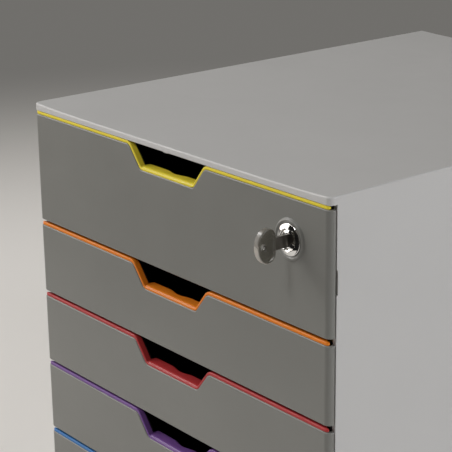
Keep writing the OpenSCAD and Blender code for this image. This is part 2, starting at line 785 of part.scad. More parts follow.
module cam_screw() {
    color(zinc) lock_place() {
        y_rod(cam_screw_d, cam_y - cam_screw_l, cam_y + cam_t + eps);
        y_rod(cam_head_d, cam_y + cam_t, cam_y + cam_t + cam_head_h);
    }
}

module key_blade() {
    wafers = 5;
    wafer_pitch = 3.4;
    cut_d = 2.4;
    tip = 2.6;
    color(brass) lock_place() difference() {
        translate([-blade_t / 2, bow_back_y - blade_root, -blade_h / 2])
            cube([blade_t, blade_root + bow_out + blade_in, blade_h]);
        // Cuts for the lock's wafers, shallow and deep in turn
        for (k = [1:wafers])
            translate([0, front_y + k * wafer_pitch, blade_h / 2 + cut_d / 6 - (k % 2) * cut_d / 5])
                rotate([0, 90, 0]) cylinder(d = cut_d, h = 2 * blade_t, center = true);
        // Pointed tip
        for (s = [-1, 1])
            translate([0, front_y + blade_in, s * blade_h / 2]) rotate([45, 0, 0])
                cube([2 * blade_t, tip, tip], center = true);
    }
}

module key_bow() {
    slot_h = blade_h + 2 * slip;
    color(smoke) lock_place() difference() {
        translate([-bow_t / 2, 0, 0]) rotate([90, 0, 90]) linear_extrude(bow_t) bow_outline(0);
        // Faces that lie a little under the rim
        for (s = [-1, 1]) translate([s * (bow_t - bow_sink + eps) / 2, 0, 0]) rotate([90, 0, 90])
            linear_extrude(bow_sink + eps, center = true) bow_outline(bow_rim);
        translate([-blade_t / 2 - slip, bow_back_y - blade_root - slip, -slot_h / 2])
            cube([blade_t + 2 * slip, blade_root + slip + eps, slot_h]);
        translate([0, bow_back_y - bow_l + ring_hole_in, 0]) rotate([0, 90, 0])
            cylinder(d = ring_hole_d, h = bow_t + 2, center = true);
    }
}

// Side view of the bow, shrunk by inset: an oval with a flat towards the blade
module bow_outline(inset) {
    end_y = bow_back_y - bow_l;
    intersection() {
        translate([end_y + bow_round, 0]) polygon([for (k = [1:oval_steps])
            [(bow_round - inset) * cos(360 * k / oval_steps), (bow_h / 2 - inset) * sin(360 * k / oval_steps)]]);
        translate([end_y, -bow_h / 2]) square([bow_l - inset, bow_h]);
    }
}

housing_shell();
base_tray();
rear_panel();
rubber_feet();
base_screws();
rear_screws();
rail_screws();
strike_screws();
for (i = [1:rows]) {
    runner(-1, i);
    runner(1, i);
    drawer_tray(i);
    grip_frame(i);
    front_panel(i);
}
lock_body();
lock_nut();
lock_plug();
lock_cam();
cam_screw();
key_blade();
key_bow();
lock_strike();
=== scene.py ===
"""Looks of a desktop drawer tower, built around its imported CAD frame.

The housing, trays, rails, screws, plug and blade keep the shapes of the CAD nodes and get eased
edges. The top also sags a little, and the plug's face is domed. The drawer fronts, their coloured
grips, the lock's ring and bezel and the key's bow are surfaces worked out here: a section carried
along an outline, a profile turned about an axis, or a grid of two parameters. All lengths are
metres, in the frame of the CAD.
"""

from __future__ import annotations

import json
import logging
import math
from dataclasses import dataclass
from enum import Enum
from typing import Callable, Mapping, Sequence, Union

import bmesh
import bpy
import numpy as np
from mathutils import Matrix, Vector

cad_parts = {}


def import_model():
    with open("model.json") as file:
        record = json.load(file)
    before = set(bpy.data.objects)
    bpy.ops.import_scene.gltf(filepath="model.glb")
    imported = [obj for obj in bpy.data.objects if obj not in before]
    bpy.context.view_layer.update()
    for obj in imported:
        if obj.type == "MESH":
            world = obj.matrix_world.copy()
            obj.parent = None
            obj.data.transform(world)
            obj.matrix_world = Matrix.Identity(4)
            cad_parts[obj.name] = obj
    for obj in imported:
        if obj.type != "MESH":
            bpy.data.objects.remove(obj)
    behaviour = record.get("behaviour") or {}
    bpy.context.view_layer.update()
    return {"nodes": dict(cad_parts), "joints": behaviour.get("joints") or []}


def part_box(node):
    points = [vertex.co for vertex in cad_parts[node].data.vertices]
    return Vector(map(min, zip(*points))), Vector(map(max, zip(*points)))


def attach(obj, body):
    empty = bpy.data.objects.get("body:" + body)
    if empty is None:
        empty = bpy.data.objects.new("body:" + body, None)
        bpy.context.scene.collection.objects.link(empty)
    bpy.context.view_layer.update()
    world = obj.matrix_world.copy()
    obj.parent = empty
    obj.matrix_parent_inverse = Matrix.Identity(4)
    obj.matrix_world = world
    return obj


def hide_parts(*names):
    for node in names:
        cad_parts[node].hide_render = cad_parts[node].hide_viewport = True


log = logging.getLogger("drawer_tower")

MM = 0.001
ROWS = 5

# Triangles of a CAD node that bend less than the first angle are one flat face. An edge is rounded
# that bends more than the second in a copy of a node, or than the third in the node itself.
FLAT_ANGLE = math.radians(0.6)
COPY_EDGE_ANGLE = math.radians(30)
NODE_EDGE_ANGLE = math.radians(40)

# Width of the rounding on small fittings, and the gap that joins two points of a CAD node.
SMALL_EASING = 0.25 * MM
CAD_WELD = 0.01 * MM

Colour = tuple[float, float, float]
BLACK: Colour = (0.0, 0.0, 0.0)
Value = Union[float, Sequence[float], "Signal", bpy.types.NodeSocket]


# --------------------------------------------------------------------------------------------
# Shader maths
# --------------------------------------------------------------------------------------------


class Signal:
    """A number that varies over a surface. Arithmetic on it adds Math nodes."""

    def __init__(self, shader: "Shader", socket: bpy.types.NodeSocket) -> None:
        """Wraps a float output socket.

        Args:
            shader: the material that the socket belongs to.
            socket: the output to wrap.
        """
        self.shader = shader
        self.socket = socket

    def _math(self, operation: str, first: Value, second: Value) -> "Signal":
        """Adds one Math node and wraps its output."""
        node = self.shader.node("ShaderNodeMath", {"operation": operation}, {0: first, 1: second})
        return Signal(self.shader, node.outputs[0])

    def __add__(self, other: Value) -> "Signal":
        """self + other."""
        return self._math("ADD", self, other)

    def __mul__(self, other: Value) -> "Signal":
        """self * other."""
        return self._math("MULTIPLY", self, other)

    __radd__ = __add__
    __rmul__ = __mul__

    def ramp(self, low: float, high: float) -> "Signal":
        """Rises smoothly from 0 at low to 1 at high.

        Args:
            low: where the result leaves 0.
            high: where it reaches 1.

        Returns:
            The smoothed signal.
        """
        settings = {"interpolation_type": "SMOOTHSTEP"}
        values = {"Value": self, "From Min": low, "From Max": high}
        node = self.shader.node("ShaderNodeMapRange", settings, values)
        return Signal(self.shader, node.outputs["Result"])


class Shader:
    """Node tree of one material, with its Principled BSDF linked to the output."""

    def __init__(self, name: str) -> None:
        """Makes the material.

        Args:
            name: the material's name.
        """
        self.material = bpy.data.materials.new(name)
        self.material.use_nodes = True
        self.tree = self.material.node_tree
        self.tree.nodes.clear()
        self.surface = self.node("ShaderNodeBsdfPrincipled")
        self.node("ShaderNodeOutputMaterial", {}, {"Surface": self.surface.outputs["BSDF"]})
        self.place = self.node("ShaderNodeTexCoord").outputs["Object"]

    def node(
        self,
        kind: str,
        settings: Mapping[str, object] | None = None,
        values: Mapping[str | int, Value] | None = None,
    ) -> bpy.types.Node:
        """Adds a node, sets its settings, and then fills its input sockets.

        Args:
            kind: the node's type name.
            settings: attributes of the node, such as a Math node's operation.
            values: numbers, colours, signals or output sockets, by socket name, identifier or index.

        Returns:
            The new node.
        """
        node = self.tree.nodes.new(kind)
        for attribute, value in (settings or {}).items():
            setattr(node, attribute, value)
        for key, value in (values or {}).items():
            self.fill(node, key, value)
        return node

    def fill(self, node: bpy.types.Node, key: str | int, value: Value) -> None:
        """Sets or links one input socket.

        Args:
            node: the node whose input is filled.
            key: the socket's index, identifier or name.
            value: a number, colour, signal or output socket.
        """
        by_identifier = {s.identifier: s for s in node.inputs}
        target = by_identifier.get(key) if isinstance(key, str) else node.inputs[key]
        target = target or node.inputs[key]
        if isinstance(value, Signal):
            self.tree.links.new(value.socket, target)
        elif isinstance(value, bpy.types.NodeSocket):
            self.tree.links.new(value, target)
        else:
            target.default_value = value

    def noise(self, per_metre: float, detail: float = 2.0, stretch: Sequence[float] = (1, 1, 1)) -> Signal:
        """Cloudy noise over the piece.

        Args:
            per_metre: blobs per metre.
            detail: octaves of finer noise.
            stretch: factors on x, y and z, so that a small one draws the pattern out that way.

        Returns:
            A signal about 0.5.
        """
        mapped = self.node("ShaderNodeMapping", {}, {"Vector": self.place, "Scale": tuple(stretch)})
        values = {"Vector": mapped.outputs["Vector"], "Scale": per_metre, "Detail": detail}
        return Signal(self, self.node("ShaderNodeTexNoise", {}, values).outputs[0])

    def blend(
        self, amount: Signal, first: Colour | bpy.types.NodeSocket, second: Colour | bpy.types.NodeSocket
    ) -> bpy.types.NodeSocket:
        """Mixes two colours.

        Args:
            amount: 0 gives first and 1 gives second.
            first: linear colour, or a colour's socket.
            second: linear colour, or a colour's socket.

        Returns:
            The mixed colour's socket.
        """
        first, second = ((*c, 1.0) if isinstance(c, tuple) else c for c in (first, second))
        values = {"Factor_Float": amount, "A_Color": first, "B_Color": second}
        node = self.node("ShaderNodeMix", {"data_type": "RGBA"}, values)
        return next(s for s in node.outputs if s.identifier == "Result_Color")

    def relief(
        self, height: Signal, depth: float, under: bpy.types.NodeSocket | None = None
    ) -> bpy.types.NodeSocket:
        """Turns a height into a bumped normal.

        Args:
            height: signal from 0 to 1.
            depth: the relief's depth in metres.
            under: normal that this relief lies on.

        Returns:
            The normal's socket.
        """
        values: dict[str | int, Value] = {"Height": height, "Distance": depth, "Strength": 1.0}
        if under is not None:
            values["Normal"] = under
        return self.node("ShaderNodeBump", {}, values).outputs["Normal"]


# --------------------------------------------------------------------------------------------
# Finishes
# --------------------------------------------------------------------------------------------


def shade(colour: Colour, factor: float) -> Colour:
    """The colour made lighter or darker by a factor."""
    return (colour[0] * factor, colour[1] * factor, colour[2] * factor)


@dataclass(frozen=True)
class MouldedPlastic:
    """Injection-moulded plastic: a fine spark-eroded grain under faint flow clouds.

    The colour drifts by `drift` either way over the moulding, the roughness by `scuff` where
    hands and cloths have polished it, and the grain is a bump a few hundredths of a millimetre deep.
    """

    colour: Colour
    roughness: float = 0.42
    drift: float = 0.03
    scuff: float = 0.07
    grain_per_metre: float = 2600.0
    grain_depth: float = 0.02 * MM
    specular: float = 0.5
    subsurface: float = 0.0

    def material(self, name: str) -> bpy.types.Material:
        """Builds the material.

        Args:
            name: the material's name.

        Returns:
            The material.
        """
        shader = Shader(name)
        clouds = shader.noise(11.0, 3.0).ramp(0.3, 0.7)
        specks = shader.noise(900.0, 1.0).ramp(0.35, 0.8)
        tone = clouds * 0.8 + specks * 0.2
        polish = shader.noise(34.0, 4.0).ramp(0.3, 0.75)
        grain = shader.noise(self.grain_per_metre, 3.0)
        waves = shader.noise(45.0, 1.0)
        normal = shader.relief(waves, 2 * self.grain_depth)
        bsdf = shader.surface
        dark, light = shade(self.colour, 1 - self.drift), shade(self.colour, 1 + self.drift)
        shader.fill(bsdf, "Base Color", shader.blend(tone, dark, light))
        shader.fill(bsdf, "Roughness", self.roughness - self.scuff / 2 + polish * self.scuff)
        shader.fill(bsdf, "Normal", shader.relief(grain, self.grain_depth, normal))
        shader.fill(bsdf, "Specular IOR Level", self.specular)
        shader.fill(bsdf, "Subsurface Weight", self.subsurface)
        shader.fill(bsdf, "Subsurface Radius", (0.6 * MM, 0.4 * MM, 0.2 * MM))
        return shader.material


@dataclass(frozen=True)
class PlatedMetal:
    """Plated or polished metal: faint smudges in the shine over fine lengthwise brushing.

    The brushing is noise drawn out along one axis, and cloudier noise dulls the plating.
    """

    colour: Colour
    roughness: float = 0.1
    smudge: float = 0.06
    brush_depth: float = 0.0
    brush_stretch: tuple[float, float, float] = (1.0, 0.04, 1.0)
    stain: Colour | None = None

    def material(self, name: str) -> bpy.types.Material:
        """Builds the material.

        Args:
            name: the material's name.

        Returns:
            The material.
        """
        shader = Shader(name)
        smudges = shader.noise(160.0, 4.0).ramp(0.42, 0.8)
        brushing = shader.noise(5200.0, 2.0, self.brush_stretch)
        bsdf = shader.surface
        stain = self.stain or shade(self.colour, 0.93)
        shader.fill(bsdf, "Base Color", shader.blend(smudges, self.colour, stain))
        shader.fill(bsdf, "Roughness", self.roughness + smudges * self.smudge)
        shader.fill(bsdf, "Metallic", 1.0)
        if self.brush_depth > 0:
            shader.fill(bsdf, "Normal", shader.relief(brushing, self.brush_depth))
        return shader.material


@dataclass(frozen=True)
class SmokyPlastic:
    """Clear plastic tinted smoky grey, with a worn gloss that is duller in patches.

    Its edges, where the piece's attribute `painted_edge_glow` rises to 1, are duller, and painted pale as a
    glow of light caught in the clear edges.
    """

    colour: Colour
    # Pale colour painted on the edges as a glow of caught light.
    painted_glow_colour: Colour = (0.92, 0.86, 0.79)
    edge_roughness: float = 0.22
    roughness: float = 0.08
    wear_and_glow: float = 0.14
    clearness: float = 0.75

    def material(self, name: str) -> bpy.types.Material:
        """Builds the material.

        Args:
            name: the material's name.

        Returns:
            The material.
        """
        shader = Shader(name)
        patches = shader.noise(260.0, 4.0).ramp(0.4, 0.75)
        flow = shader.noise(420.0, 2.0, (1.0, 0.35, 1.0))
        attribute = shader.node("ShaderNodeAttribute", {"attribute_name": "painted_edge_glow"})
        # How much painted glow of caught light each point gets, from the piece's attribute.
        edge = Signal(shader, attribute.outputs["Fac"]) * (patches * 0.08 + 0.92)
        bsdf = shader.surface
        tint = shader.blend(flow, shade(self.colour, 0.85), shade(self.colour, 1.15))
        shader.fill(bsdf, "Base Color", shader.blend(edge, tint, self.painted_glow_colour))
        shader.fill(bsdf, "Roughness", self.roughness + patches * self.wear_and_glow + edge * self.edge_roughness)
        shader.fill(bsdf, "Normal", shader.relief(flow, 0.04 * MM))
        shader.fill(bsdf, "Transmission Weight", self.clearness)
        shader.fill(bsdf, "IOR", 1.49)
        return shader.material


Finish = Union[MouldedPlastic, PlatedMetal, SmokyPlastic]


class Coat(Enum):
    """The tower's finishes, by the record's material slot."""

    HOUSING = "housing_plastic"
    FRONT = "front_plastic"
    TRAY = "tray_plastic"
    RAIL = "rail_plastic"
    RUBBER = "foot_rubber"
    ZINC = "screw_steel"
    CHROME = "chrome"
    BLADE = "key_metal"
    SMOKE = "key_plastic"
    YELLOW = "grip_yellow"
    ORANGE = "grip_orange"
    RED = "grip_red"
    PURPLE = "grip_purple"
    BLUE = "grip_blue"


FINISHES: dict[Coat, Finish] = {
    Coat.HOUSING: MouldedPlastic((0.50, 0.495, 0.49), roughness=0.46, drift=0.012),
    Coat.FRONT: MouldedPlastic((0.188, 0.187, 0.174), roughness=0.36, drift=0.03),
    Coat.TRAY: MouldedPlastic((0.02, 0.0195, 0.019), roughness=0.48, drift=0.1),
    Coat.RAIL: MouldedPlastic((0.30, 0.30, 0.295), roughness=0.5),
    Coat.RUBBER: MouldedPlastic(
        (0.022, 0.022, 0.022), roughness=0.82, drift=0.15, grain_depth=0.06 * MM, specular=0.3
    ),
    Coat.ZINC: PlatedMetal((0.62, 0.62, 0.60), 0.3, 0.15, 0.008 * MM, stain=(0.55, 0.52, 0.42)),
    Coat.CHROME: PlatedMetal((0.86, 0.85, 0.83), 0.05, 0.06),
    Coat.BLADE: PlatedMetal((0.21, 0.195, 0.175), 0.28, 0.12, 0.01 * MM),
    Coat.SMOKE: SmokyPlastic((0.125, 0.117, 0.095), clearness=0.5),
    Coat.YELLOW: MouldedPlastic((0.76, 0.62, 0.045), 0.34, 0.02, subsurface=0.15, specular=0.35),
    Coat.ORANGE: MouldedPlastic((0.72, 0.20, 0.014), 0.34, 0.02, subsurface=0.15, specular=0.35),
    Coat.RED: MouldedPlastic((0.41, 0.035, 0.037), 0.36, 0.03, subsurface=0.1, specular=0.35),
    Coat.PURPLE: MouldedPlastic((0.16, 0.07, 0.26), 0.36, 0.03, subsurface=0.1, specular=0.35),
    Coat.BLUE: MouldedPlastic((0.03, 0.16, 0.42), 0.36, 0.03, subsurface=0.1, specular=0.35),
}

GRIP_COATS = (Coat.YELLOW, Coat.ORANGE, Coat.RED, Coat.PURPLE, Coat.BLUE)


class Paints:
    """Materials made so far, one for each finish."""

    def __init__(self) -> None:
        """Starts with no material."""
        self._made: dict[Coat, bpy.types.Material] = {}

    def of(self, coat: Coat) -> bpy.types.Material:
        """The material of a finish, made on first use.

        Args:
            coat: the finish.

        Returns:
            Its material.
        """
        if coat not in self._made:
            self._made[coat] = FINISHES[coat].material(coat.value)
        return self._made[coat]

    def dress(self, piece: bpy.types.Object, coat: Coat) -> None:
        """Gives a piece one finish all over.

        Args:
            piece: a mesh object.
            coat: the finish.
        """
        piece.data.materials.clear()
        piece.data.materials.append(self.of(coat))


# --------------------------------------------------------------------------------------------
# Outlines and meshes
# --------------------------------------------------------------------------------------------


def smooth(t: np.ndarray) -> np.ndarray:
    """Smoothstep of t, clipped to 0..1: 3t^2 - 2t^3."""
    t = np.clip(t, 0.0, 1.0)
    return t * t * (3 - 2 * t)


def rounded_corner(
    before: np.ndarray, corner: np.ndarray, after: np.ndarray, radius: float, steps: int
) -> np.ndarray:
    """Arc that rounds one corner of a polyline.

    The centre lies on the corner's bisector, radius / sin(half angle) from the corner, and the arc
    runs from the touching point on one side to that on the other.

    Args:
        before: point before the corner.
        corner: the corner itself.
        after: point after it.
        radius: radius of the arc.
        steps: number of chords.

    Returns:
        Array of steps + 1 points.
    """
    u = (before - corner) / np.linalg.norm(before - corner)
    v = (after - corner) / np.linalg.norm(after - corner)
    half = math.acos(float(np.clip(u @ v, -1, 1))) / 2
    bisector = (u + v) / np.linalg.norm(u + v)
    centre = corner + bisector * radius / math.sin(half)
    start = corner + u * radius / math.tan(half) - centre
    end = corner + v * radius / math.tan(half) - centre
    first = math.atan2(start[1], start[0])
    sweep = (math.atan2(end[1], end[0]) - first + math.pi) % (2 * math.pi) - math.pi
    angles = first + sweep * np.linspace(0, 1, steps + 1)
    return centre + radius * np.stack([np.cos(angles), np.sin(angles)], -1)


def outward_normals(path: np.ndarray) -> np.ndarray:
    """Unit normals on the left of an open path, from central differences along it.

    Args:
        path: points (x, z), as rows.

    Returns:
        One normal for each point, as rows.
    """
    tangent = np.gradient(path, axis=0)
    tangent /= np.linalg.norm(tangent, axis=1, keepdims=True)
    return np.stack([-tangent[:, 1], tangent[:, 0]], -1)


def quarter(radius: float, steps: int) -> np.ndarray:
    """Quarter circle that rolls an edge over.

    Args:
        radius: radius of the roll.
        steps: number of chords.

    Returns:
        Rows of (inset from the edge, depth behind the face), from the edge to the face.
    """
    a = np.linspace(0, math.pi / 2, steps + 1)
    return radius * np.stack([1 - np.cos(a), 1 - np.sin(a)], -1)


def linked(name: str, data: bpy.types.ID) -> bpy.types.Object:
    """Makes an object of a mesh, lamp or camera and links it to the scene.

    Args:
        name: the object's name.
        data: what the object shows.

    Returns:
        The object.
    """
    holder = bpy.data.objects.new(name, data)
    bpy.context.scene.collection.objects.link(holder)
    return holder


def weigh_normals(piece: bpy.types.Object, weight: int = 50) -> None:
    """Adds the modifier that shades flat faces flat beside rounded edges.

    Args:
        piece: a mesh object.
        weight: how strongly larger faces count.
    """
    weighted = piece.modifiers.new("flat_faces_flat", "WEIGHTED_NORMAL")
    weighted.keep_sharp = True
    weighted.weight = weight


def points_of(piece: bpy.types.Object) -> np.ndarray:
    """Reads the points of a piece.

    Args:
        piece: a mesh object.

    Returns:
        An array of three rows: x, y and z.
    """
    points = np.empty(3 * len(piece.data.vertices))
    piece.data.vertices.foreach_get("co", points)
    return points.reshape(-1, 3).T


class Sketch:
    """Grids of points that become one mesh."""

    def __init__(self) -> None:
        """Starts empty."""
        self.points: list[np.ndarray] = []
        self.faces: list[list[int]] = []
        self.count = 0

    def grid(
        self,
        points: np.ndarray,
        closed_u: bool = False,
        closed_v: bool = False,
        capped: bool = False,
    ) -> None:
        """Adds a surface on a grid of points.

        Args:
            points: array of shape (u, v, 3).
            closed_u: joins the last row to the first.
            closed_v: joins the last column to the first.
            capped: closes the first and the last row with one face each.
        """
        nu, nv = points.shape[:2]
        index = self.count + np.arange(nu * nv).reshape(nu, nv)
        u = np.arange(nu if closed_u else nu - 1)
        v = np.arange(nv if closed_v else nv - 1)
        uu, vv = np.meshgrid(u, v, indexing="ij")
        u1, v1 = (uu + 1) % nu, (vv + 1) % nv
        quads = np.stack([index[uu, vv], index[u1, vv], index[u1, v1], index[uu, v1]], -1)
        self.faces += quads.reshape(-1, 4).tolist()
        if capped:
            self.faces += [index[0].tolist(), index[-1][::-1].tolist()]
        self.points.append(points.reshape(-1, 3))
        self.count += nu * nv

    def build(self, name: str, sharp_degrees: float = 40.0) -> bpy.types.Object:
        """Makes the object, with its normals outwards and its flat faces shaded flat.

        Args:
            name: the object's name.
            sharp_degrees: edges that bend more than this stay sharp.

        Returns:
            The new mesh object, linked to the scene.
        """
        mesh = bpy.data.meshes.new(name)
        mesh.from_pydata(np.concatenate(self.points).tolist(), [], self.faces)
        return finished(name, mesh, sharp_degrees)


def finished(name: str, mesh: bpy.types.Mesh, sharp_degrees: float) -> bpy.types.Object:
    """Closes a mesh, turns its normals outwards and links it as an object.

    Args:
        name: the object's name.
        mesh: the mesh to finish.
        sharp_degrees: edges that bend more than this stay sharp.

    Returns:
        The object.
    """
    work = bmesh.new()
    work.from_mesh(mesh)
    bmesh.ops.remove_doubles(work, verts=work.verts, dist=0.001 * MM)
    bmesh.ops.recalc_face_normals(work, faces=work.faces)
    work.to_mesh(mesh)
    work.free()
    mesh.polygons.foreach_set("use_smooth", np.ones(len(mesh.polygons), bool))
    mesh.set_sharp_from_angle(angle=math.radians(sharp_degrees))
    piece = linked(name, mesh)
    weigh_normals(piece, 60)
    return piece


def turned(profile: np.ndarray, centre: Vector, steps: int = 96) -> np.ndarray:
    """Turns a profile about a line along Y.

    Args:
        profile: rows of (radius, depth behind the centre), or an array (steps, rows, 2) whose
            profile changes with the angle.
        centre: point on the axis.
        steps: divisions of the turn.

    Returns:
        Grid of points, closed in its first direction.
    """
    angle = np.linspace(0, 2 * math.pi, steps, endpoint=False)[:, None]
    radius, depth = profile[..., 0], profile[..., 1]
    x = centre.x + radius * np.cos(angle)
    z = centre.z + radius * np.sin(angle)
    y = centre.y + depth + 0 * angle
    return np.stack([x, y, z], -1)


def drilled(piece: bpy.types.Object, centre: Vector, radius: float, reach: float) -> None:
    """Cuts a round hole along Y through a piece.

    Args:
        piece: the mesh object to cut.
        centre: middle of the hole.
        radius: its radius.
        reach: how far the cut reaches each way.
    """
    drill = Sketch()
    steps = 64
    sides = np.array([[radius, -reach], [radius, reach]])
    drill.grid(turned(sides, centre, steps), closed_u=True)
    drill.faces += [list(range(0, 2 * steps, 2)), list(range(2 * steps - 1, 0, -2))]
    cutter = drill.build("drill")
    piece.modifiers.clear()
    cut = piece.modifiers.new("hole", "BOOLEAN")
    cut.object = cutter
    cut.solver = "EXACT"
    bpy.context.view_layer.update()
    holed = piece.evaluated_get(bpy.context.evaluated_depsgraph_get())
    shape = bpy.data.meshes.new_from_object(holed)
    piece.modifiers.clear()
    piece.data = shape
    bpy.data.objects.remove(cutter)
    weigh_normals(piece)


def joined(piece: bpy.types.Object, other: bpy.types.Object) -> None:
    """Adds another object's faces to a piece, and removes that object.

    Args:
        piece: the piece that keeps its modifiers.
        other: the object that ends.
    """
    work = bmesh.new()
    work.from_mesh(piece.data)
    work.from_mesh(other.data)
    work.to_mesh(piece.data)
    work.free()
    bpy.data.objects.remove(other)


def fully(middles: np.ndarray) -> np.ndarray:
    """Weight 1 for every edge."""
    return np.ones(len(middles))


def eased_copy(
    name: str, node: bpy.types.Object, width: float, weigh: Callable[[np.ndarray], np.ndarray]
) -> bpy.types.Object:
    """Copies a CAD node, with its edges rounded.

    The copy's triangles are merged and flat ones joined. Every edge that bends more than 30
    degrees is then rounded over `width` times its weight.

    Args:
        name: name of the copy.
        node: the CAD node.
        width: widest rounding.
        weigh: gives the weight, 0 to 1, for each row of an (n, 3) array of edge middles.

    Returns:
        The copy.
    """
    mesh = node.data.copy()
    mesh.name = name
    work = bmesh.new()
    work.from_mesh(mesh)
    bmesh.ops.remove_doubles(work, verts=work.verts, dist=CAD_WELD)
    bmesh.ops.dissolve_limit(work, angle_limit=FLAT_ANGLE, verts=work.verts, edges=work.edges)
    middles = np.array([(e.verts[0].co + e.verts[1].co) / 2 for e in work.edges])
    bends = np.array([e.calc_face_angle(0.0) for e in work.edges])
    work.to_mesh(mesh)
    work.free()
    weights = np.where(bends > COPY_EDGE_ANGLE, weigh(middles), 0.0)
    layer = mesh.attributes.new("bevel_weight_edge", "FLOAT", "EDGE")
    layer.data.foreach_set("value", weights.astype(np.float32))
    mesh.polygons.foreach_set("use_smooth", np.ones(len(mesh.polygons), bool))
    mesh.set_sharp_from_angle(angle=COPY_EDGE_ANGLE)
    piece = linked(name, mesh)
    rounding = piece.modifiers.new("eased_edges", "BEVEL")
    rounding.limit_method = "WEIGHT"
    rounding.width = width
    rounding.segments = 3
    weigh_normals(piece)
    return piece


def scored(
    piece: bpy.types.Object, near: Callable[[Vector], bool], cuts: Sequence[tuple[Vector, Vector]]
) -> None:
    """Cuts some faces of a piece along planes, so that they can bend.

    Args:
        piece: the piece, changed in place.
        near: says of a face's middle whether the face is cut.
        cuts: a point and the normal of each plane.
    """
    work = bmesh.new()
    work.from_mesh(piece.data)
    for point, normal in cuts:
        faces = [f for f in work.faces if near(f.calc_center_median())]
        edges = [e for f in faces for e in f.edges]
        corners = [v for f in faces for v in f.verts]
        parts = dict.fromkeys([*faces, *edges, *corners])
        bmesh.ops.bisect_plane(work, geom=list(parts), plane_co=point, plane_no=normal)
    work.to_mesh(piece.data)
    work.free()


def bent(piece: bpy.types.Object, move: Callable[[np.ndarray, np.ndarray, np.ndarray], np.ndarray]) -> None:
    """Moves the points of a piece.

    Args:
        piece: the piece, changed in place.
        move: gives the new points, as rows of x, y and z, from the old x, y and z.
    """
    piece.data.vertices.foreach_set("co", move(*points_of(piece)).ravel())


def ease_node(node: bpy.types.Object, width: float) -> None:
    """Rounds the edges of a CAD node that is shown as it is.

    Args:
        node: the CAD node.
        width: width of the rounding.
    """
    weld = node.modifiers.new("joined", "WELD")
    weld.merge_threshold = CAD_WELD
    flat = node.modifiers.new("flats_joined", "DECIMATE")
    flat.decimate_type = "DISSOLVE"
    flat.angle_limit = FLAT_ANGLE
    rounding = node.modifiers.new("eased_edges", "BEVEL")
    rounding.limit_method = "ANGLE"
    rounding.angle_limit = NODE_EDGE_ANGLE
    rounding.width = width
    rounding.segments = 2
    weigh_normals(node)


# --------------------------------------------------------------------------------------------
# Drawer fronts
# --------------------------------------------------------------------------------------------


@dataclass(frozen=True)
class Notch:
    """Finger notch in the top edge of a drawer front, seen from the front.

    Its sides slope in from top_w at the panel's edge to bottom_w, `depth` lower, and its four
    corners are rounded.
    """

    top_w: float = 72.5 * MM
    bottom_w: float = 51.0 * MM
    depth: float = 13.5 * MM
    top_r: float = 5.0 * MM
    bottom_r: float = 4.0 * MM
    steps: int = 12

    def half_width(self, z: float, grow: float) -> float:
        """Half the notch's width at height z over the panel's edge, grown by `grow` all round."""
        slope = (self.top_w - self.bottom_w) / 2 / self.depth
        return self.top_w / 2 + z * slope + grow * math.hypot(1, slope)

    def edge(self, top: float, grow: float) -> np.ndarray:
        """The notch's edge from its left upper corner to its right one.

        Args:
            top: height of the edge that it interrupts, over the panel's edge.
            grow: how much wider the notch is cut all round.

        Returns:
            Points (x, z), four arcs with straight lines between them.
        """
        low = -self.depth - grow
        wide, narrow = self.half_width(top, grow), self.half_width(low, grow)
        across = (-2 * wide, -wide, -narrow, narrow, wide, 2 * wide)
        corners = np.array(list(zip(across, (top, top, low, low, top, top))))
        radii = (self.top_r - grow, self.bottom_r + grow, self.bottom_r + grow, self.top_r - grow)
        arcs = [rounded_corner(*corners[k : k + 3], radii[k], self.steps) for k in range(4)]
        return np.concatenate(arcs)


@dataclass(frozen=True)
class Plate:
    """Thin moulded plate with a rolled rim round its face.

    The plate's section is carried along its upper edge: from the back of the lower edge round
    the lower rim, up the face, over the upper rim and down the back. Towards both ends the
    section sinks by e = r (1 - sin a) while it nears the end, which rounds the ends as well.
    """

    thickness: float
    rim: float
    end_rim: float
    rim_steps: int = 4

    def grid(self, edge: np.ndarray, half: float, bottom: float) -> np.ndarray:
        """Works out the plate's surface, flat, with its face at depth 0.

        Args:
            edge: inner points (x, z) of the upper edge, from left to right.
            half: half the plate's width.
            bottom: height of the lower edge.

        Returns:
            Array (u, v, 3) of (x, depth, z).
        """
        a = np.linspace(0, math.pi / 2, self.rim_steps + 1)
        run_in = half - self.end_rim * (1 - np.cos(a))
        sunk = self.end_rim * (1 - np.sin(a))
        top = edge[0, 1]
        left = np.stack([-run_in, np.full_like(run_in, top)], -1)
        right = np.stack([run_in[::-1], np.full_like(run_in, top)], -1)
        path = np.concatenate([left, edge, right])
        normals = outward_normals(path)
        sink = np.zeros(len(path))
        sink[: len(a)], sink[-len(a) :] = sunk, sunk[::-1]
        roll = quarter(self.rim, self.rim_steps)
        lower = np.concatenate([[[0.0, self.thickness]], roll])
        upper = lower[::-1]
        depth = np.concatenate([lower[:, 1], upper[:, 1]])
        deep = sink[:, None] + depth * (1 - sink[:, None] / self.thickness)
        low_inset = lower[:, 0] + sink[:, None]
        up_inset = upper[:, 0] + sink[:, None]
        low_x = path[:, :1] + 0 * low_inset
        up_x = path[:, :1] - normals[:, :1] * up_inset
        low_z = bottom + low_inset
        up_z = path[:, 1:] - normals[:, 1:] * up_inset
        return np.stack([np.concatenate([low_x, up_x], 1), deep, np.concatenate([low_z, up_z], 1)], -1)


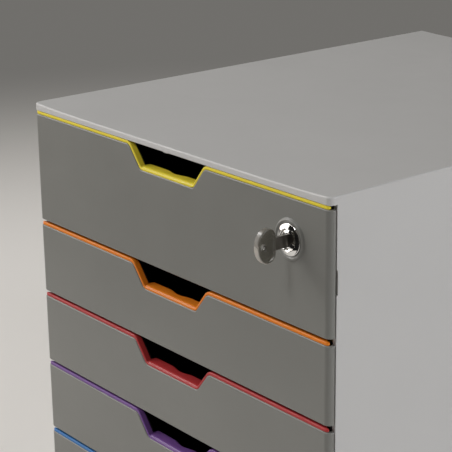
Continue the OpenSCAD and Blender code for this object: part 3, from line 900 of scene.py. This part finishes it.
@dataclass
class DrawerFront:
    """Front panel of one drawer, with the coloured grip frame behind it."""

    row: int
    face_y: float
    notch: Notch = Notch()
    corner_r: float = 4.0 * MM
    frame_end: float = 6.0 * MM
    panel_t: float = 2.0 * MM
    panel_rim: float = 0.75 * MM
    panel_end_rim: float = 0.3 * MM
    grip_t: float = 2.0 * MM
    grip_rim: float = 0.35 * MM
    slip: float = 0.1 * MM
    bead_t: float = 1.4 * MM
    bead_inset: float = 0.4 * MM
    bead_r: float = 0.6 * MM
    bead_wrap: float = 3.3 * MM
    bead_tip: float = 2.0 * MM
    bead_tip_share: float = 0.12
    bead_sunk: float = 0.05 * MM
    bead_fade: float = 2.0 * MM
    ledge_depth: float = 10.4 * MM
    ledge_crest: float = 2.1 * MM
    ledge_nose_r: float = 2.2 * MM
    ledge_fall: float = 0.3 * MM
    ledge_rear_r: float = 2.4 * MM
    ledge_lip_t: float = 3.2 * MM
    ledge_lip_h: float = 4.4 * MM
    ledge_corner_r: float = 0.8 * MM
    ledge_in: float = 0.5 * MM
    ledge_edge: float = 0.3 * MM
    scoop_w: float = 22.0 * MM
    scoop_in: float = 2.0 * MM

    @property
    def body(self) -> str:
        """The CAD body that the front moves with."""
        return f"drawer_{self.row}"

    @property
    def panel_box(self) -> tuple[Vector, Vector]:
        """Corners of the front panel's CAD node."""
        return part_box(f"front_panel_{self.row}")

    def build(self, paints: Paints, lock: "Lock | None") -> None:
        """Makes the panel and the grip and hangs them on the drawer.

        Args:
            paints: the materials.
            lock: the lock in this front, if it has one.
        """
        for name, piece, coat in (
            ("front_panel", self.panel(lock), Coat.FRONT),
            ("grip_frame", self.grip(lock), GRIP_COATS[self.row - 1]),
        ):
            paints.dress(piece, coat)
            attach(piece, self.body)
            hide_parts(f"{name}_{self.row}")
            log.info("%s: %d faces", piece.name, len(piece.data.polygons))

    def wrapped(self, flat: np.ndarray, half: float) -> np.ndarray:
        """Bends a flat plate's ends round the front corners.

        A point at s along the face and depth d keeps its place up to the corner, and then turns
        about the corner's centre: the angle is (s - s0) / r, and the radius is r - d.

        Args:
            flat: array (u, v, 3) of (s, depth, z).
            half: half the housing's width.

        Returns:
            Array of the same shape, of (x, y, z).
        """
        s, depth, z = flat[..., 0], flat[..., 1], flat[..., 2]
        start = half - self.corner_r
        angle = np.clip(np.abs(s) - start, 0, None) / self.corner_r
        radius = self.corner_r - depth
        x = np.where(angle > 0, np.sign(s) * (start + radius * np.sin(angle)), s)
        y = self.face_y + self.corner_r - radius * np.cos(angle)
        return np.stack([x, y, z], -1)

    def panel(self, lock: "Lock | None") -> bpy.types.Object:
        """The dark front panel, wrapped round the corners, with a hole for the lock.

        Args:
            lock: the lock in this front, if it has one.

        Returns:
            The panel.
        """
        low, high = self.panel_box
        half = high.x
        flat_half = half - self.corner_r
        reach = flat_half + self.corner_r * math.pi / 2
        plate = Plate(self.panel_t, self.panel_rim, self.panel_end_rim)
        bend = np.linspace(flat_half, reach - plate.end_rim - 0.2 * MM, 10)
        wings = [np.stack([np.sort(side * bend), 0 * bend], -1) for side in (-1, 1)]
        edge = np.concatenate([wings[0], self.notch.edge(0.0, 0.0), wings[1]])
        flat = plate.grid(edge, reach, low.z - high.z)
        flat[..., 2] += high.z
        sketch = Sketch()
        sketch.grid(self.wrapped(flat, half), closed_v=True, capped=True)
        if lock is None:
            return sketch.build(f"panel_{self.row}")
        piece = sketch.build(f"panel_{self.row}")
        drilled(piece, lock.face, lock.barrel_r + self.slip, 3 * self.panel_t)
        return piece

    def grip(self, lock: "Lock | None") -> bpy.types.Object:
        """The coloured frame: a plate behind the panel, the bead along its top edge and the ledge.

        Args:
            lock: the lock in this front, if it has one.

        Returns:
            The frame.
        """
        low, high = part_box(f"grip_frame_{self.row}")
        top = self.panel_box[1].z
        half = self.panel_box[1].x
        rise = high.z - top
        behind = rise - self.bead_t / 2
        plate = Plate(self.grip_t, self.grip_rim, self.grip_rim)
        edge = self.notch.edge(behind, -self.slip - self.bead_t / 2)
        flat = plate.grid(edge, half - self.frame_end, low.z - top)
        flat += [0.0, self.face_y + self.panel_t, top]
        sheet = Sketch()
        sheet.grid(flat, closed_v=True, capped=True)
        piece = sheet.build(f"grip_{self.row}")
        if lock is not None:
            drilled(piece, lock.face, lock.barrel_r + self.slip, 3 * self.panel_t)
        front = Sketch()
        bead = self.bead_grid(rise, half) + [0.0, 0.0, top]
        front.grid(self.wrapped(bead, half), closed_v=True, capped=True)
        front.grid(self.ledge_grid(top - self.notch.depth), closed_v=True, capped=True)
        joined(piece, front.build("grip_front"))
        return piece

    def bead_grid(self, rise: float, half: float) -> np.ndarray:
        """Bead that covers the panel's top edge and lines the notch, still flat.

        Its section runs between two edges: the panel's own, and the bead's upper one. w being the
        way between them, a point lies at a share of w, less an inset, and at a depth. The ends reach
        round the corners. There the section shrinks by sin a towards its middle, while s nears the end
        by r (1 - cos a), which rounds the tip.

        Args:
            rise: height of the bead over the panel's edge.
            half: half the housing's width.

        Returns:
            Array (u, v, 3) of (s, depth, height over the panel's edge).
        """
        start = half - self.corner_r
        tip = np.linspace(0, math.pi / 2, 7)
        s_tip = start + self.bead_wrap - self.bead_tip * (1 - np.cos(tip))
        wing = np.concatenate([np.linspace(start - 4 * MM, s_tip[-1] - 0.3 * MM, 8), s_tip[::-1]])
        fullness = np.ones_like(wing)
        fullness[-7:] = self.bead_tip_share + (1 - self.bead_tip_share) * np.sin(tip[::-1])
        low = self.notch.edge(self.slip, -self.slip)
        high = self.notch.edge(rise, -self.slip - self.bead_t)
        low, high = (
            np.concatenate(
                [np.stack([-wing[::-1], 0 * wing + z], -1), edge, np.stack([wing, 0 * wing + z], -1)]
            )
            for edge, z in ((low, self.slip), (high, rise))
        )
        full = np.concatenate([fullness[::-1], np.ones(len(low) - 2 * len(wing)), fullness])[:, None]
        s = np.abs(low[:, :1])
        back = self.panel_t + self.grip_t - self.bead_sunk
        thinner = smooth((s - start + self.bead_fade) / self.bead_fade)
        back = back - (back - self.panel_t - self.bead_sunk) * thinner
        under, over = quarter(self.bead_r / 2, 3), quarter(self.bead_r, 5)[::-1]
        share = np.concatenate([0 * under[:, 0], 0 * over[:, 0] + 1, [1.0, 0.0]])
        inset = np.concatenate([under[:, 0], -over[:, 0], [0.0, 0.0]])
        sunk = np.concatenate([under[:, 1], over[:, 1], [-1.0, -1.0]])
        depth = np.where(sunk < 0, back, self.bead_inset + np.maximum(sunk, 0))
        across = high - low
        width = np.linalg.norm(across, axis=1, keepdims=True)
        place = 0.5 + (share + inset / width - 0.5) * full
        depth = self.panel_t / 2 + (depth - self.panel_t / 2) * full
        x = low[:, :1] + across[:, :1] * place
        z = low[:, 1:] + across[:, 1:] * place
        return np.stack([x, depth, z], -1)

    def ledge_section(self) -> np.ndarray:
        """Section of the ledge, as rows of (depth behind the face, height over the notch's floor).

        It rises over a nose at the front, falls gently towards the rear and turns down there
        into a lip for the fingertips.

        Returns:
            The section's points, in order.
        """
        nose = np.radians(np.linspace(180, 90, 9))
        front = np.stack(
            [
                self.bead_inset + self.ledge_nose_r * (1 + np.cos(nose)),
                self.slip + (self.ledge_crest - self.slip) * np.sin(nose),
            ],
            -1,
        )
        crown = self.ledge_crest - self.ledge_fall
        turn = np.radians(np.linspace(90, 0, 9))
        rear = np.stack(
            [
                self.ledge_depth - self.ledge_rear_r * (1 - np.cos(turn)),
                crown - self.ledge_rear_r * (1 - np.sin(turn)),
            ],
            -1,
        )
        t = np.linspace(0, 1, 8)[1:-1, None]
        back = front[-1] + (rear[0] - front[-1]) * t
        back[:, 1] = self.ledge_crest - self.ledge_fall * smooth(t[:, 0])
        low = crown - self.ledge_lip_h
        inner = self.ledge_depth - self.ledge_lip_t
        under = np.array(
            [
                [self.ledge_depth, low + self.ledge_edge],
                [self.ledge_depth - self.ledge_edge, low],
                [inner, low],
                [inner, -self.ledge_rear_r],
                [self.ledge_depth - self.ledge_rear_r - 1 * MM, self.slip],
            ]
        )
        return np.concatenate([front, back, rear, under])

    def ledge_grid(self, floor: float) -> np.ndarray:
        """Grip ledge along the notch's floor.

        u runs across the notch and v round the section, whose ends lie within the notch's lining and
        are rounded in plan. In the middle the rear edge is scooped out: a point there comes forward
        by e (1 + cos(2 pi x / w)) / 2 times its share of the depth, e being the scoop's depth and w
        its width.

        Args:
            floor: height of the notch's floor.

        Returns:
            Array (u, v, 3) of points.
        """
        section = self.ledge_section()
        depth, height = section[:, 0], section[:, 1]
        outline = self.notch.edge(0.0, -self.slip)
        side = outline[len(outline) // 2 :]
        half = np.interp(height, side[:, 1] + self.notch.depth, side[:, 0]) - self.ledge_in
        u = np.sin(np.linspace(-math.pi / 2, math.pi / 2, 73))[:, None]
        past = np.clip(depth - (self.ledge_depth - self.ledge_corner_r), 0, self.ledge_corner_r)
        rounding = np.sqrt(np.maximum(self.ledge_corner_r**2 - past**2, 0.04 * MM**2))
        x = (half - self.ledge_corner_r + rounding) * u
        swell = 0.5 + 0.5 * np.cos(math.pi * np.clip(2 * x / self.scoop_w, -1, 1))
        level = self.ledge_depth - self.ledge_rear_r - self.ledge_nose_r
        rearward = smooth((depth - self.ledge_nose_r) / level)
        y = self.face_y + depth - self.scoop_in * swell * rearward
        return np.stack([x, y, floor + height + 0 * x], -1)


# --------------------------------------------------------------------------------------------
# Lock and key
# --------------------------------------------------------------------------------------------


@dataclass
class Lock:
    """Cylinder lock of the top drawer: moulded ring, chromed bezel with threaded barrel, and plug."""

    axis: Vector
    face_y: float
    ring_r: float = 11.6 * MM
    ring_h: float = 1.2 * MM
    ring_dip: float = 0.8 * MM
    ring_gap: float = 0.1 * MM
    ring_sunk: float = 0.3 * MM
    bezel_r: float = 9.0 * MM
    bezel_h: float = 2.2 * MM
    skirt: float = 0.7 * MM
    rim_r: float = 0.6 * MM
    crown: float = 0.06 * MM
    flat_r: float = 6.35 * MM
    bore_r: float = 5.95 * MM
    dome_r: float = 16.5 * MM
    dome_out: float = 0.35 * MM
    barrel_r: float = 8.0 * MM
    barrel_l: float = 26.0 * MM
    thread_pitch: float = 1.25 * MM
    thread_h: float = 0.3 * MM
    thread_from: float = 2.6 * MM
    chamfer: float = 0.3 * MM

    @property
    def face(self) -> Vector:
        """Where the lock's axis meets the panel's face."""
        return Vector((self.axis.x, self.face_y, self.axis.z))

    def build(self, paints: Paints, nodes: Mapping[str, bpy.types.Object]) -> None:
        """Makes the lock's shown pieces and hangs them on their bodies.

        Args:
            paints: the materials.
            nodes: the CAD nodes.
        """
        ring = self.ring()
        paints.dress(ring, Coat.FRONT)
        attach(ring, "drawer_1")
        body = self.body()
        paints.dress(body, Coat.CHROME)
        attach(body, "drawer_1")
        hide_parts("lock_body")
        plug = eased_copy("plug", nodes["lock_plug"], SMALL_EASING, fully)
        self.dome(plug)
        paints.dress(plug, Coat.CHROME)
        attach(plug, "plug")
        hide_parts("lock_plug")
        for piece in (ring, body, plug):
            log.info("%s: %d faces", piece.name, len(piece.data.polygons))

    def dome(self, plug: bpy.types.Object) -> None:
        """Domes the plug's face: y grows by r^2 / 2 R - o at r from the axis, R being the dome's radius.

        The face is first cut into squares, so that it can bend.

        Args:
            plug: the plug, still flat in front.
        """
        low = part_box("lock_plug")[0]
        near = low.y + 0.1 * MM
        places = (self.bore_r * np.sin(np.linspace(-1.0, 1.0, 9))).tolist()
        cuts = [(self.axis + Vector((p, 0, 0)), Vector((1, 0, 0))) for p in places]
        cuts += [(self.axis + Vector((0, 0, p)), Vector((0, 0, 1))) for p in places]
        scored(plug, lambda middle: middle.y < near, cuts)

        def domed(x: np.ndarray, y: np.ndarray, z: np.ndarray) -> np.ndarray:
            """Points of the dome."""
            square = (x - self.axis.x) ** 2 + (z - self.axis.z) ** 2
            return np.stack([x, np.where(y < near, y + square / (2 * self.dome_r) - self.dome_out, y), z], -1)

        bent(plug, domed)
        plug.modifiers["eased_edges"].use_clamp_overlap = False

    def ring(self) -> bpy.types.Object:
        """Moulded ring round the lock: a torus-like swell that falls inwards to the bezel.

        Returns:
            The ring.
        """
        a = np.linspace(0, math.pi / 2, 7)
        outer = np.stack([self.ring_r - self.ring_h * (1 - np.cos(a)), -self.ring_h * np.sin(a)], -1)
        t = np.linspace(0, 1, 7)[1:]
        inner_r = self.bezel_r + self.ring_gap
        crest = self.ring_r - self.ring_h
        inner = np.stack([crest + (inner_r - crest) * t, -self.ring_h + self.ring_dip * smooth(t)], -1)
        skirt = np.array([[self.ring_r + 0.35 * MM, 0.02 * MM], [self.ring_r + 0.08 * MM, -0.1 * MM]])
        base = np.array([[inner_r, self.ring_sunk], [self.ring_r, self.ring_sunk]])
        sketch = Sketch()
        profile = np.concatenate([skirt, outer[1:], inner, base])
        sketch.grid(turned(profile, self.face), closed_u=True, closed_v=True)
        return sketch.build("lock_ring")

    def body(self) -> bpy.types.Object:
        """Bezel and barrel in one turned profile, with a screw thread on the barrel.

        The bezel's face is a shallow cone, crowned by c sin(pi t), between a rounded rim and a
        chamfer at the bore. The barrel's radius is r - h |2 f - 1|, where f is the fraction of
        depth / pitch - angle / 2 pi.

        Returns:
            The bezel and barrel, as one piece.
        """
        steps = 96
        a = np.linspace(0, math.pi / 2, 8)[:-1]
        rim = np.stack(
            [self.bezel_r - self.rim_r * (1 - np.cos(a)), -self.skirt - self.rim_r * np.sin(a)], -1
        )
        t = np.linspace(0, 1, 9)
        shoulder = self.skirt + self.rim_r
        cone = np.stack(
            [
                self.bezel_r - self.rim_r + (self.flat_r + self.rim_r - self.bezel_r) * t,
                -shoulder - (self.bezel_h - shoulder) * t - self.crown * np.sin(math.pi * t),
            ],
            -1,
        )
        bore = np.array(
            [
                [self.bore_r + self.chamfer, -self.bezel_h],
                [self.bore_r, -self.bezel_h + self.chamfer],
                [self.bore_r, self.barrel_l],
                [self.barrel_r - self.thread_h, self.barrel_l],
            ]
        )
        depth = np.linspace(self.barrel_l - self.chamfer, self.thread_from, 90)
        angle = np.linspace(0, 1, steps, endpoint=False)[:, None]
        turn = (depth / self.thread_pitch - angle) % 1.0
        thread_r = self.barrel_r - self.thread_h * np.abs(2 * turn - 1)
        thread = np.stack([thread_r, depth + 0 * angle], -1)
        neck = np.array([[self.barrel_r - self.thread_h, 0.1 * MM], [self.bezel_r, 0.05 * MM]])
        rows = [np.broadcast_to(rows, (steps, len(rows), 2)) for rows in (rim, cone, bore)]
        profile = np.concatenate([*rows, thread, np.broadcast_to(neck, (steps, 2, 2))], 1)
        sketch = Sketch()
        sketch.grid(turned(profile, self.face, steps), closed_u=True, closed_v=True)
        return sketch.build("lock_bezel", 35.0)


@dataclass
class Key:
    """Key in the lock: a plated blade and a bow of smoky plastic."""

    axis: Vector
    bow_h: float = 19.4 * MM
    bow_round: float = 7.2 * MM
    ring_hole_in: float = 4.0 * MM
    ring_hole_r: float = 2.1 * MM
    rim_w: float = 1.6 * MM
    rim_step: float = 0.5 * MM
    sink: float = 0.4 * MM
    edge_r: float = 0.9 * MM
    hole_roll: float = 0.3 * MM
    corner_power: int = 14
    # Where and how strongly the bow's edge is painted with a pale glow of caught light, a painted highlight
    # that is stronger on the lower half.
    glow_from: float = 0.84
    glow_top: float = 0.25
    glow_fade: float = 2.0 * MM

    def build(self, paints: Paints, nodes: Mapping[str, bpy.types.Object]) -> None:
        """Makes the bow and the blade.

        Args:
            paints: the materials.
            nodes: the CAD nodes.
        """
        bow = self.bow()
        paints.dress(bow, Coat.SMOKE)
        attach(bow, "key")
        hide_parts("key_bow")
        blade = eased_copy("blade", nodes["key_blade"], SMALL_EASING, fully)
        paints.dress(blade, Coat.BLADE)
        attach(blade, "key")
        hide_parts("key_blade")
        log.info("key: %d and %d faces", len(bow.data.polygons), len(blade.data.polygons))

    def bow(self) -> bpy.types.Object:
        """The bow: u turns round the ring hole, and v runs from the hole out over one face, round
        the edge and back over the other.

        Along the angle t the outline lies at D(t), the smaller of the ways to the oval and to the
        flat at the blade, blended so that their corners are round. The way to the oval solves
        ((D cos t - c) / a)^2 + (D sin t / b)^2 = 1. A point is f D + (1 - f) h + k from the hole's
        centre, h being the hole's radius. The oval's value there, from `glow_from` to 1, gives how
        strongly the edge is painted with a pale glow of caught light, and this painted glow fades
        to `glow_top` of itself above the middle, so that it lies as a painted highlight on the lower edge.

        Returns:
            The bow.
        """
        low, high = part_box("key_bow")
        hole_y = low.y + self.ring_hole_in
        a, b, c = self.bow_round, self.bow_h / 2, self.bow_round - self.ring_hole_in
        t = np.linspace(0, 2 * math.pi, 120, endpoint=False)[:, None]
        square = (np.cos(t) / a) ** 2 + (np.sin(t) / b) ** 2
        linear = c * np.cos(t) / a**2
        to_oval = (linear + np.sqrt(linear**2 - square * ((c / a) ** 2 - 1))) / square
        to_flat = (high.y - hole_y) / np.maximum(np.cos(t), 0.05)
        power = self.corner_power
        out = (to_oval**-power + to_flat**-power) ** (-1 / power)
        full = (high.x - low.x) / 2
        face = full - self.sink
        turn = np.linspace(0, math.pi / 2, 6)
        roll = self.hole_roll
        rows = [(0.0, 0.0, face - roll), (0.0, 0.1 * MM, face - 0.1 * MM), (0.0, roll, face)]
        rows += [(1.0, -self.rim_w - self.rim_step, face), (1.0, -self.rim_w, full)]
        rows += [
            (1.0, -self.edge_r * (1 - math.sin(b)), full - self.edge_r * (1 - math.cos(b)))
            for b in turn.tolist()
        ]
        half = np.array(rows)
        other = half[::-1] * [1, 1, -1]
        f, k, w = np.concatenate([half, other]).T
        reach = f * out + (1 - f) * self.ring_hole_r + k
        y = hole_y + reach * np.cos(t)
        z = self.axis.z + reach * np.sin(t)
        x = self.axis.x + w + 0 * reach
        sketch = Sketch()
        sketch.grid(np.stack([x, y, z], -1), closed_u=True, closed_v=True)
        piece = sketch.build("bow", 60.0)
        _, y, z = points_of(piece)
        oval = ((y - hole_y - c) / a) ** 2 + ((z - self.axis.z) / b) ** 2
        # Painted glow of light caught in the bow's edge, fading above the middle: a painted highlight.
        wear_and_glow = smooth((oval - self.glow_from) / (1 - self.glow_from))
        wear_and_glow *= 1 - (1 - self.glow_top) * smooth((z - self.axis.z + self.glow_fade) / (3 * self.glow_fade))
        layer = piece.data.attributes.new("painted_edge_glow", "FLOAT", "POINT")
        layer.data.foreach_set("value", wear_and_glow.astype(np.float32))
        return piece


# --------------------------------------------------------------------------------------------
# Housing and hidden pieces
# --------------------------------------------------------------------------------------------


@dataclass
class Housing:
    """Light grey housing: shell, base, rear panel, feet, rails and their screws."""

    easing: float = 0.9 * MM
    wall_easing: float = 0.25 * MM
    dish: float = 1.2 * MM
    dish_power: int = 6

    def outer_edges(self, middles: np.ndarray) -> np.ndarray:
        """Weight of each edge: full round the top, less on the walls' outer edges, none within.

        Args:
            middles: middles of the edges, as rows of x, y and z.

        Returns:
            The weights.
        """
        low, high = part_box("housing_shell")
        x, y, z = middles.T
        near = 0.3 * MM
        outside = (np.abs(x) > high.x - near) | (y < low.y + near) | (y > high.y - near)
        return np.where(z > high.z - near, 1.0, np.where(outside, self.wall_easing / self.easing, 0.0))

    def hollow_top(self, shell: bpy.types.Object) -> None:
        """Lets the top sag a little between its sides: z falls by s (1 - |x / half|^n).

        The top is first cut into strips, so that it can bend.

        Args:
            shell: the housing's shell, still flat on top.
        """
        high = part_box("housing_shell")[1]
        near = high.z - 0.1 * MM
        places = high.x * np.sin(np.linspace(-1.3, 1.3, 35))
        cuts = [(Vector((x, 0, 0)), Vector((1, 0, 0))) for x in places]
        scored(shell, lambda middle: middle.z > near, cuts)

        def sagged(x: np.ndarray, y: np.ndarray, z: np.ndarray) -> np.ndarray:
            """Points of the sagged top."""
            fall = self.dish * (1 - np.abs(x / high.x) ** self.dish_power)
            return np.stack([x, y, np.where(z > near, z - fall, z)], -1)

        bent(shell, sagged)

    def build(self, paints: Paints, nodes: Mapping[str, bpy.types.Object]) -> None:
        """Dresses the housing's nodes.

        Args:
            paints: the materials.
            nodes: the CAD nodes.
        """
        shell = eased_copy("shell", nodes["housing_shell"], self.easing, self.outer_edges)
        self.hollow_top(shell)
        shell.modifiers["eased_edges"].use_clamp_overlap = False
        base = eased_copy("base", nodes["base_tray"], 0.7 * MM, lambda middles: 0.8 * fully(middles))
        for piece, node in ((shell, "housing_shell"), (base, "base_tray")):
            paints.dress(piece, Coat.HOUSING)
            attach(piece, "housing")
            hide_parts(node)
            log.info("%s: %d faces", piece.name, len(piece.data.polygons))
        plain = {"rear_panel": (Coat.HOUSING, 0.3 * MM), "rubber_feet": (Coat.RUBBER, 0.4 * MM)}
        plain |= {name: (Coat.ZINC, SMALL_EASING) for name in nodes if name.endswith("screws")}
        plain |= {name: (Coat.RAIL, SMALL_EASING) for name in nodes if name.startswith("runner")}
        plain["lock_strike"] = (Coat.ZINC, SMALL_EASING)
        for name, (coat, width) in plain.items():
            ease_node(nodes[name], width)
            paints.dress(nodes[name], coat)


@dataclass
class DrawerBoxes:
    """Black trays, and the small fittings inside the top drawer."""

    easing: float = 0.4 * MM

    def build(self, paints: Paints, nodes: Mapping[str, bpy.types.Object]) -> None:
        """Dresses the trays, the lock's nut, cam and screw.

        Args:
            paints: the materials.
            nodes: the CAD nodes.
        """
        for row in range(1, ROWS + 1):
            tray = nodes[f"drawer_tray_{row}"]
            ease_node(tray, self.easing)
            paints.dress(tray, Coat.TRAY)
        for name in ("lock_nut", "lock_cam", "cam_screw"):
            ease_node(nodes[name], SMALL_EASING)
            paints.dress(nodes[name], Coat.ZINC)


# --------------------------------------------------------------------------------------------
# Studio
# --------------------------------------------------------------------------------------------


@dataclass(frozen=True)
class Softbox:
    """Large square lamp that faces the tower."""

    name: str
    place: tuple[float, float, float]
    target: tuple[float, float, float]
    size: float
    watts: float
    tint: Colour = (1.0, 1.0, 1.0)

    def hang(self) -> None:
        """Adds the lamp to the scene."""
        lamp = bpy.data.lights.new(self.name, "AREA")
        lamp.shape = "SQUARE"
        lamp.size = self.size
        lamp.energy = self.watts
        lamp.color = self.tint
        aim = Vector(self.target) - Vector(self.place)
        turn = aim.to_track_quat("-Z", "Y").to_matrix().to_4x4()
        linked(self.name, lamp).matrix_world = Matrix.Translation(self.place) @ turn


@dataclass(frozen=True)
class Viewpoint:
    """Camera before the tower's right front corner, looking down over its top."""

    place: tuple[float, float, float] = (0.678, -0.678, 0.5176)
    yaw: float = 51.24
    pitch: float = 18.12
    roll: float = 0.81
    lens: float = 120.9
    film: float = 36.0
    clip: tuple[float, float] = (0.01, 50.0)

    def set_up(self) -> None:
        """Adds the camera and makes it the scene's own.

        The view runs yaw degrees to the left of +Y and pitch degrees down, and the picture is
        turned by roll about it.
        """
        yaw, pitch, roll = (math.radians(v) for v in (self.yaw, self.pitch, self.roll))
        forward = Vector(
            (-math.sin(yaw) * math.cos(pitch), math.cos(yaw) * math.cos(pitch), -math.sin(pitch))
        )
        level = forward.cross(Vector((0, 0, 1))).normalized()
        down = forward.cross(level)
        right = level * math.cos(roll) + down * math.sin(roll)
        up = level * math.sin(roll) - down * math.cos(roll)
        lens = bpy.data.cameras.new("camera")
        lens.lens = self.lens
        lens.sensor_width = self.film
        lens.clip_start, lens.clip_end = self.clip
        holder = linked("camera", lens)
        turn = Matrix((right, up, -forward)).transposed()
        holder.matrix_world = Matrix.Translation(self.place) @ turn.to_4x4()
        bpy.context.scene.camera = holder


@dataclass(frozen=True)
class Studio:
    """Pale floor, soft lamps and a dim room."""

    floor_half: float = 9.0
    floor_colour: Colour = (0.80, 0.78, 0.755)
    fade_from: float = 0.5
    fade_to: float = 1.55
    room: Colour = (0.163, 0.158, 0.148)
    lamps: tuple[Softbox, ...] = (
        Softbox("key_light", (-1.65, -1.3, 1.1), (0.0, -0.1, 0.2), 2.3, 30.0, (1.0, 0.975, 0.94)),
        Softbox("rim_light", (-1.5, -0.85, 1.45), (0.0, -0.15, 0.25), 0.5, 9.5),
        Softbox("side_light", (1.9, 0.45, 0.5), (0.0, 0.0, 0.15), 1.2, 22.0, (0.97, 0.98, 1.0)),
        Softbox("top_light", (0.12, -1.25, 1.55), (0.1, -0.1, 0.2), 0.35, 7.0),
        Softbox("back_light", (1.2, 2.2, 0.8), (0.0, 0.1, 0.15), 1.2, 4.0),
        Softbox("left_light", (-2.2, -0.75, 0.15), (0.0, -0.1, 0.15), 1.0, 5.0, (1.0, 0.87, 0.80)),
    )
    flag_x: tuple[float, float] = (-1.3, 1.6)
    flag_path: tuple[tuple[float, float], ...] = ((-0.45, 0.001), (-1.75, 0.001), (-1.75, 1.3))
    # Colour of the sheet that is seen only in reflections, as a painted dark reflection.
    flag_colour: Colour = (0.012, 0.012, 0.012)

    def set_up(self) -> None:
        """Adds the floor, the lamps and the room's light.

        The floor is pale about the tower and fades into the room's grey farther out.
        """
        sketch = Sketch()
        side = np.linspace(-self.floor_half, self.floor_half, 3)
        x, y = np.meshgrid(side, side, indexing="ij")
        sketch.grid(np.stack([x, y, 0 * x], -1))
        floor = sketch.build("floor")
        floor.modifiers.clear()
        shader = Shader("floor")
        length = shader.node("ShaderNodeVectorMath", {"operation": "LENGTH"}, {0: shader.place})
        fade = Signal(shader, length.outputs["Value"]).ramp(self.fade_from, self.fade_to)
        shader.fill(shader.surface, "Base Color", shader.blend(fade, self.floor_colour, BLACK))
        shader.fill(shader.surface, "Emission Color", shader.blend(fade, BLACK, self.room))
        shader.fill(shader.surface, "Emission Strength", 1.0)
        shader.fill(shader.surface, "Specular IOR Level", 0.0)
        floor.data.materials.append(shader.material)
        self.hang_flag()
        for lamp in self.lamps:
            lamp.hang()
        world = bpy.data.worlds.new("room")
        bpy.context.scene.world = world
        world.use_nodes = True
        background = world.node_tree.nodes["Background"]
        background.inputs["Color"].default_value = (*self.room, 1.0)
        background.inputs["Strength"].default_value = 1.0
        bpy.context.scene.view_settings.view_transform = "Standard"

    def hang_flag(self) -> None:
        """Sets up a black sheet before the tower, which shows only in reflections: a painted dark reflection
        in the shine of its fittings.

        It lies on the floor and then rises: its section (y, z) is carried from one x to the other.
        """
        x, (y, z) = np.array(self.flag_x)[:, None], np.array(self.flag_path).T
        points = np.stack([x + 0 * y, y + 0 * x, z + 0 * x], -1)
        sketch = Sketch()
        sketch.grid(points)
        flag = sketch.build("flag")
        flag.modifiers.clear()
        shader = Shader("flag")
        shader.fill(shader.surface, "Base Color", (*self.flag_colour, 1.0))
        shader.fill(shader.surface, "Specular IOR Level", 0.0)
        flag.data.materials.append(shader.material)
        flag.visible_camera = flag.visible_diffuse = False
        flag.visible_shadow = flag.visible_transmission = False


def main() -> None:
    """Builds the tower's looks piece by piece."""
    logging.basicConfig(level=logging.INFO, format="%(message)s")
    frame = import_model()
    nodes = frame["nodes"]
    paints = Paints()
    Viewpoint().set_up()
    Studio().set_up()
    face_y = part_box("housing_shell")[0].y
    turn = next(joint for joint in frame["joints"] if joint["name"] == "lock_turn")
    axis = Vector(turn["pos_m"])
    lock = Lock(axis, face_y)
    Housing().build(paints, nodes)
    DrawerBoxes().build(paints, nodes)
    for row in range(1, ROWS + 1):
        DrawerFront(row, face_y).build(paints, lock if row == 1 else None)
    lock.build(paints, nodes)
    Key(axis).build(paints, nodes)


if __name__ == "__main__":
    main()
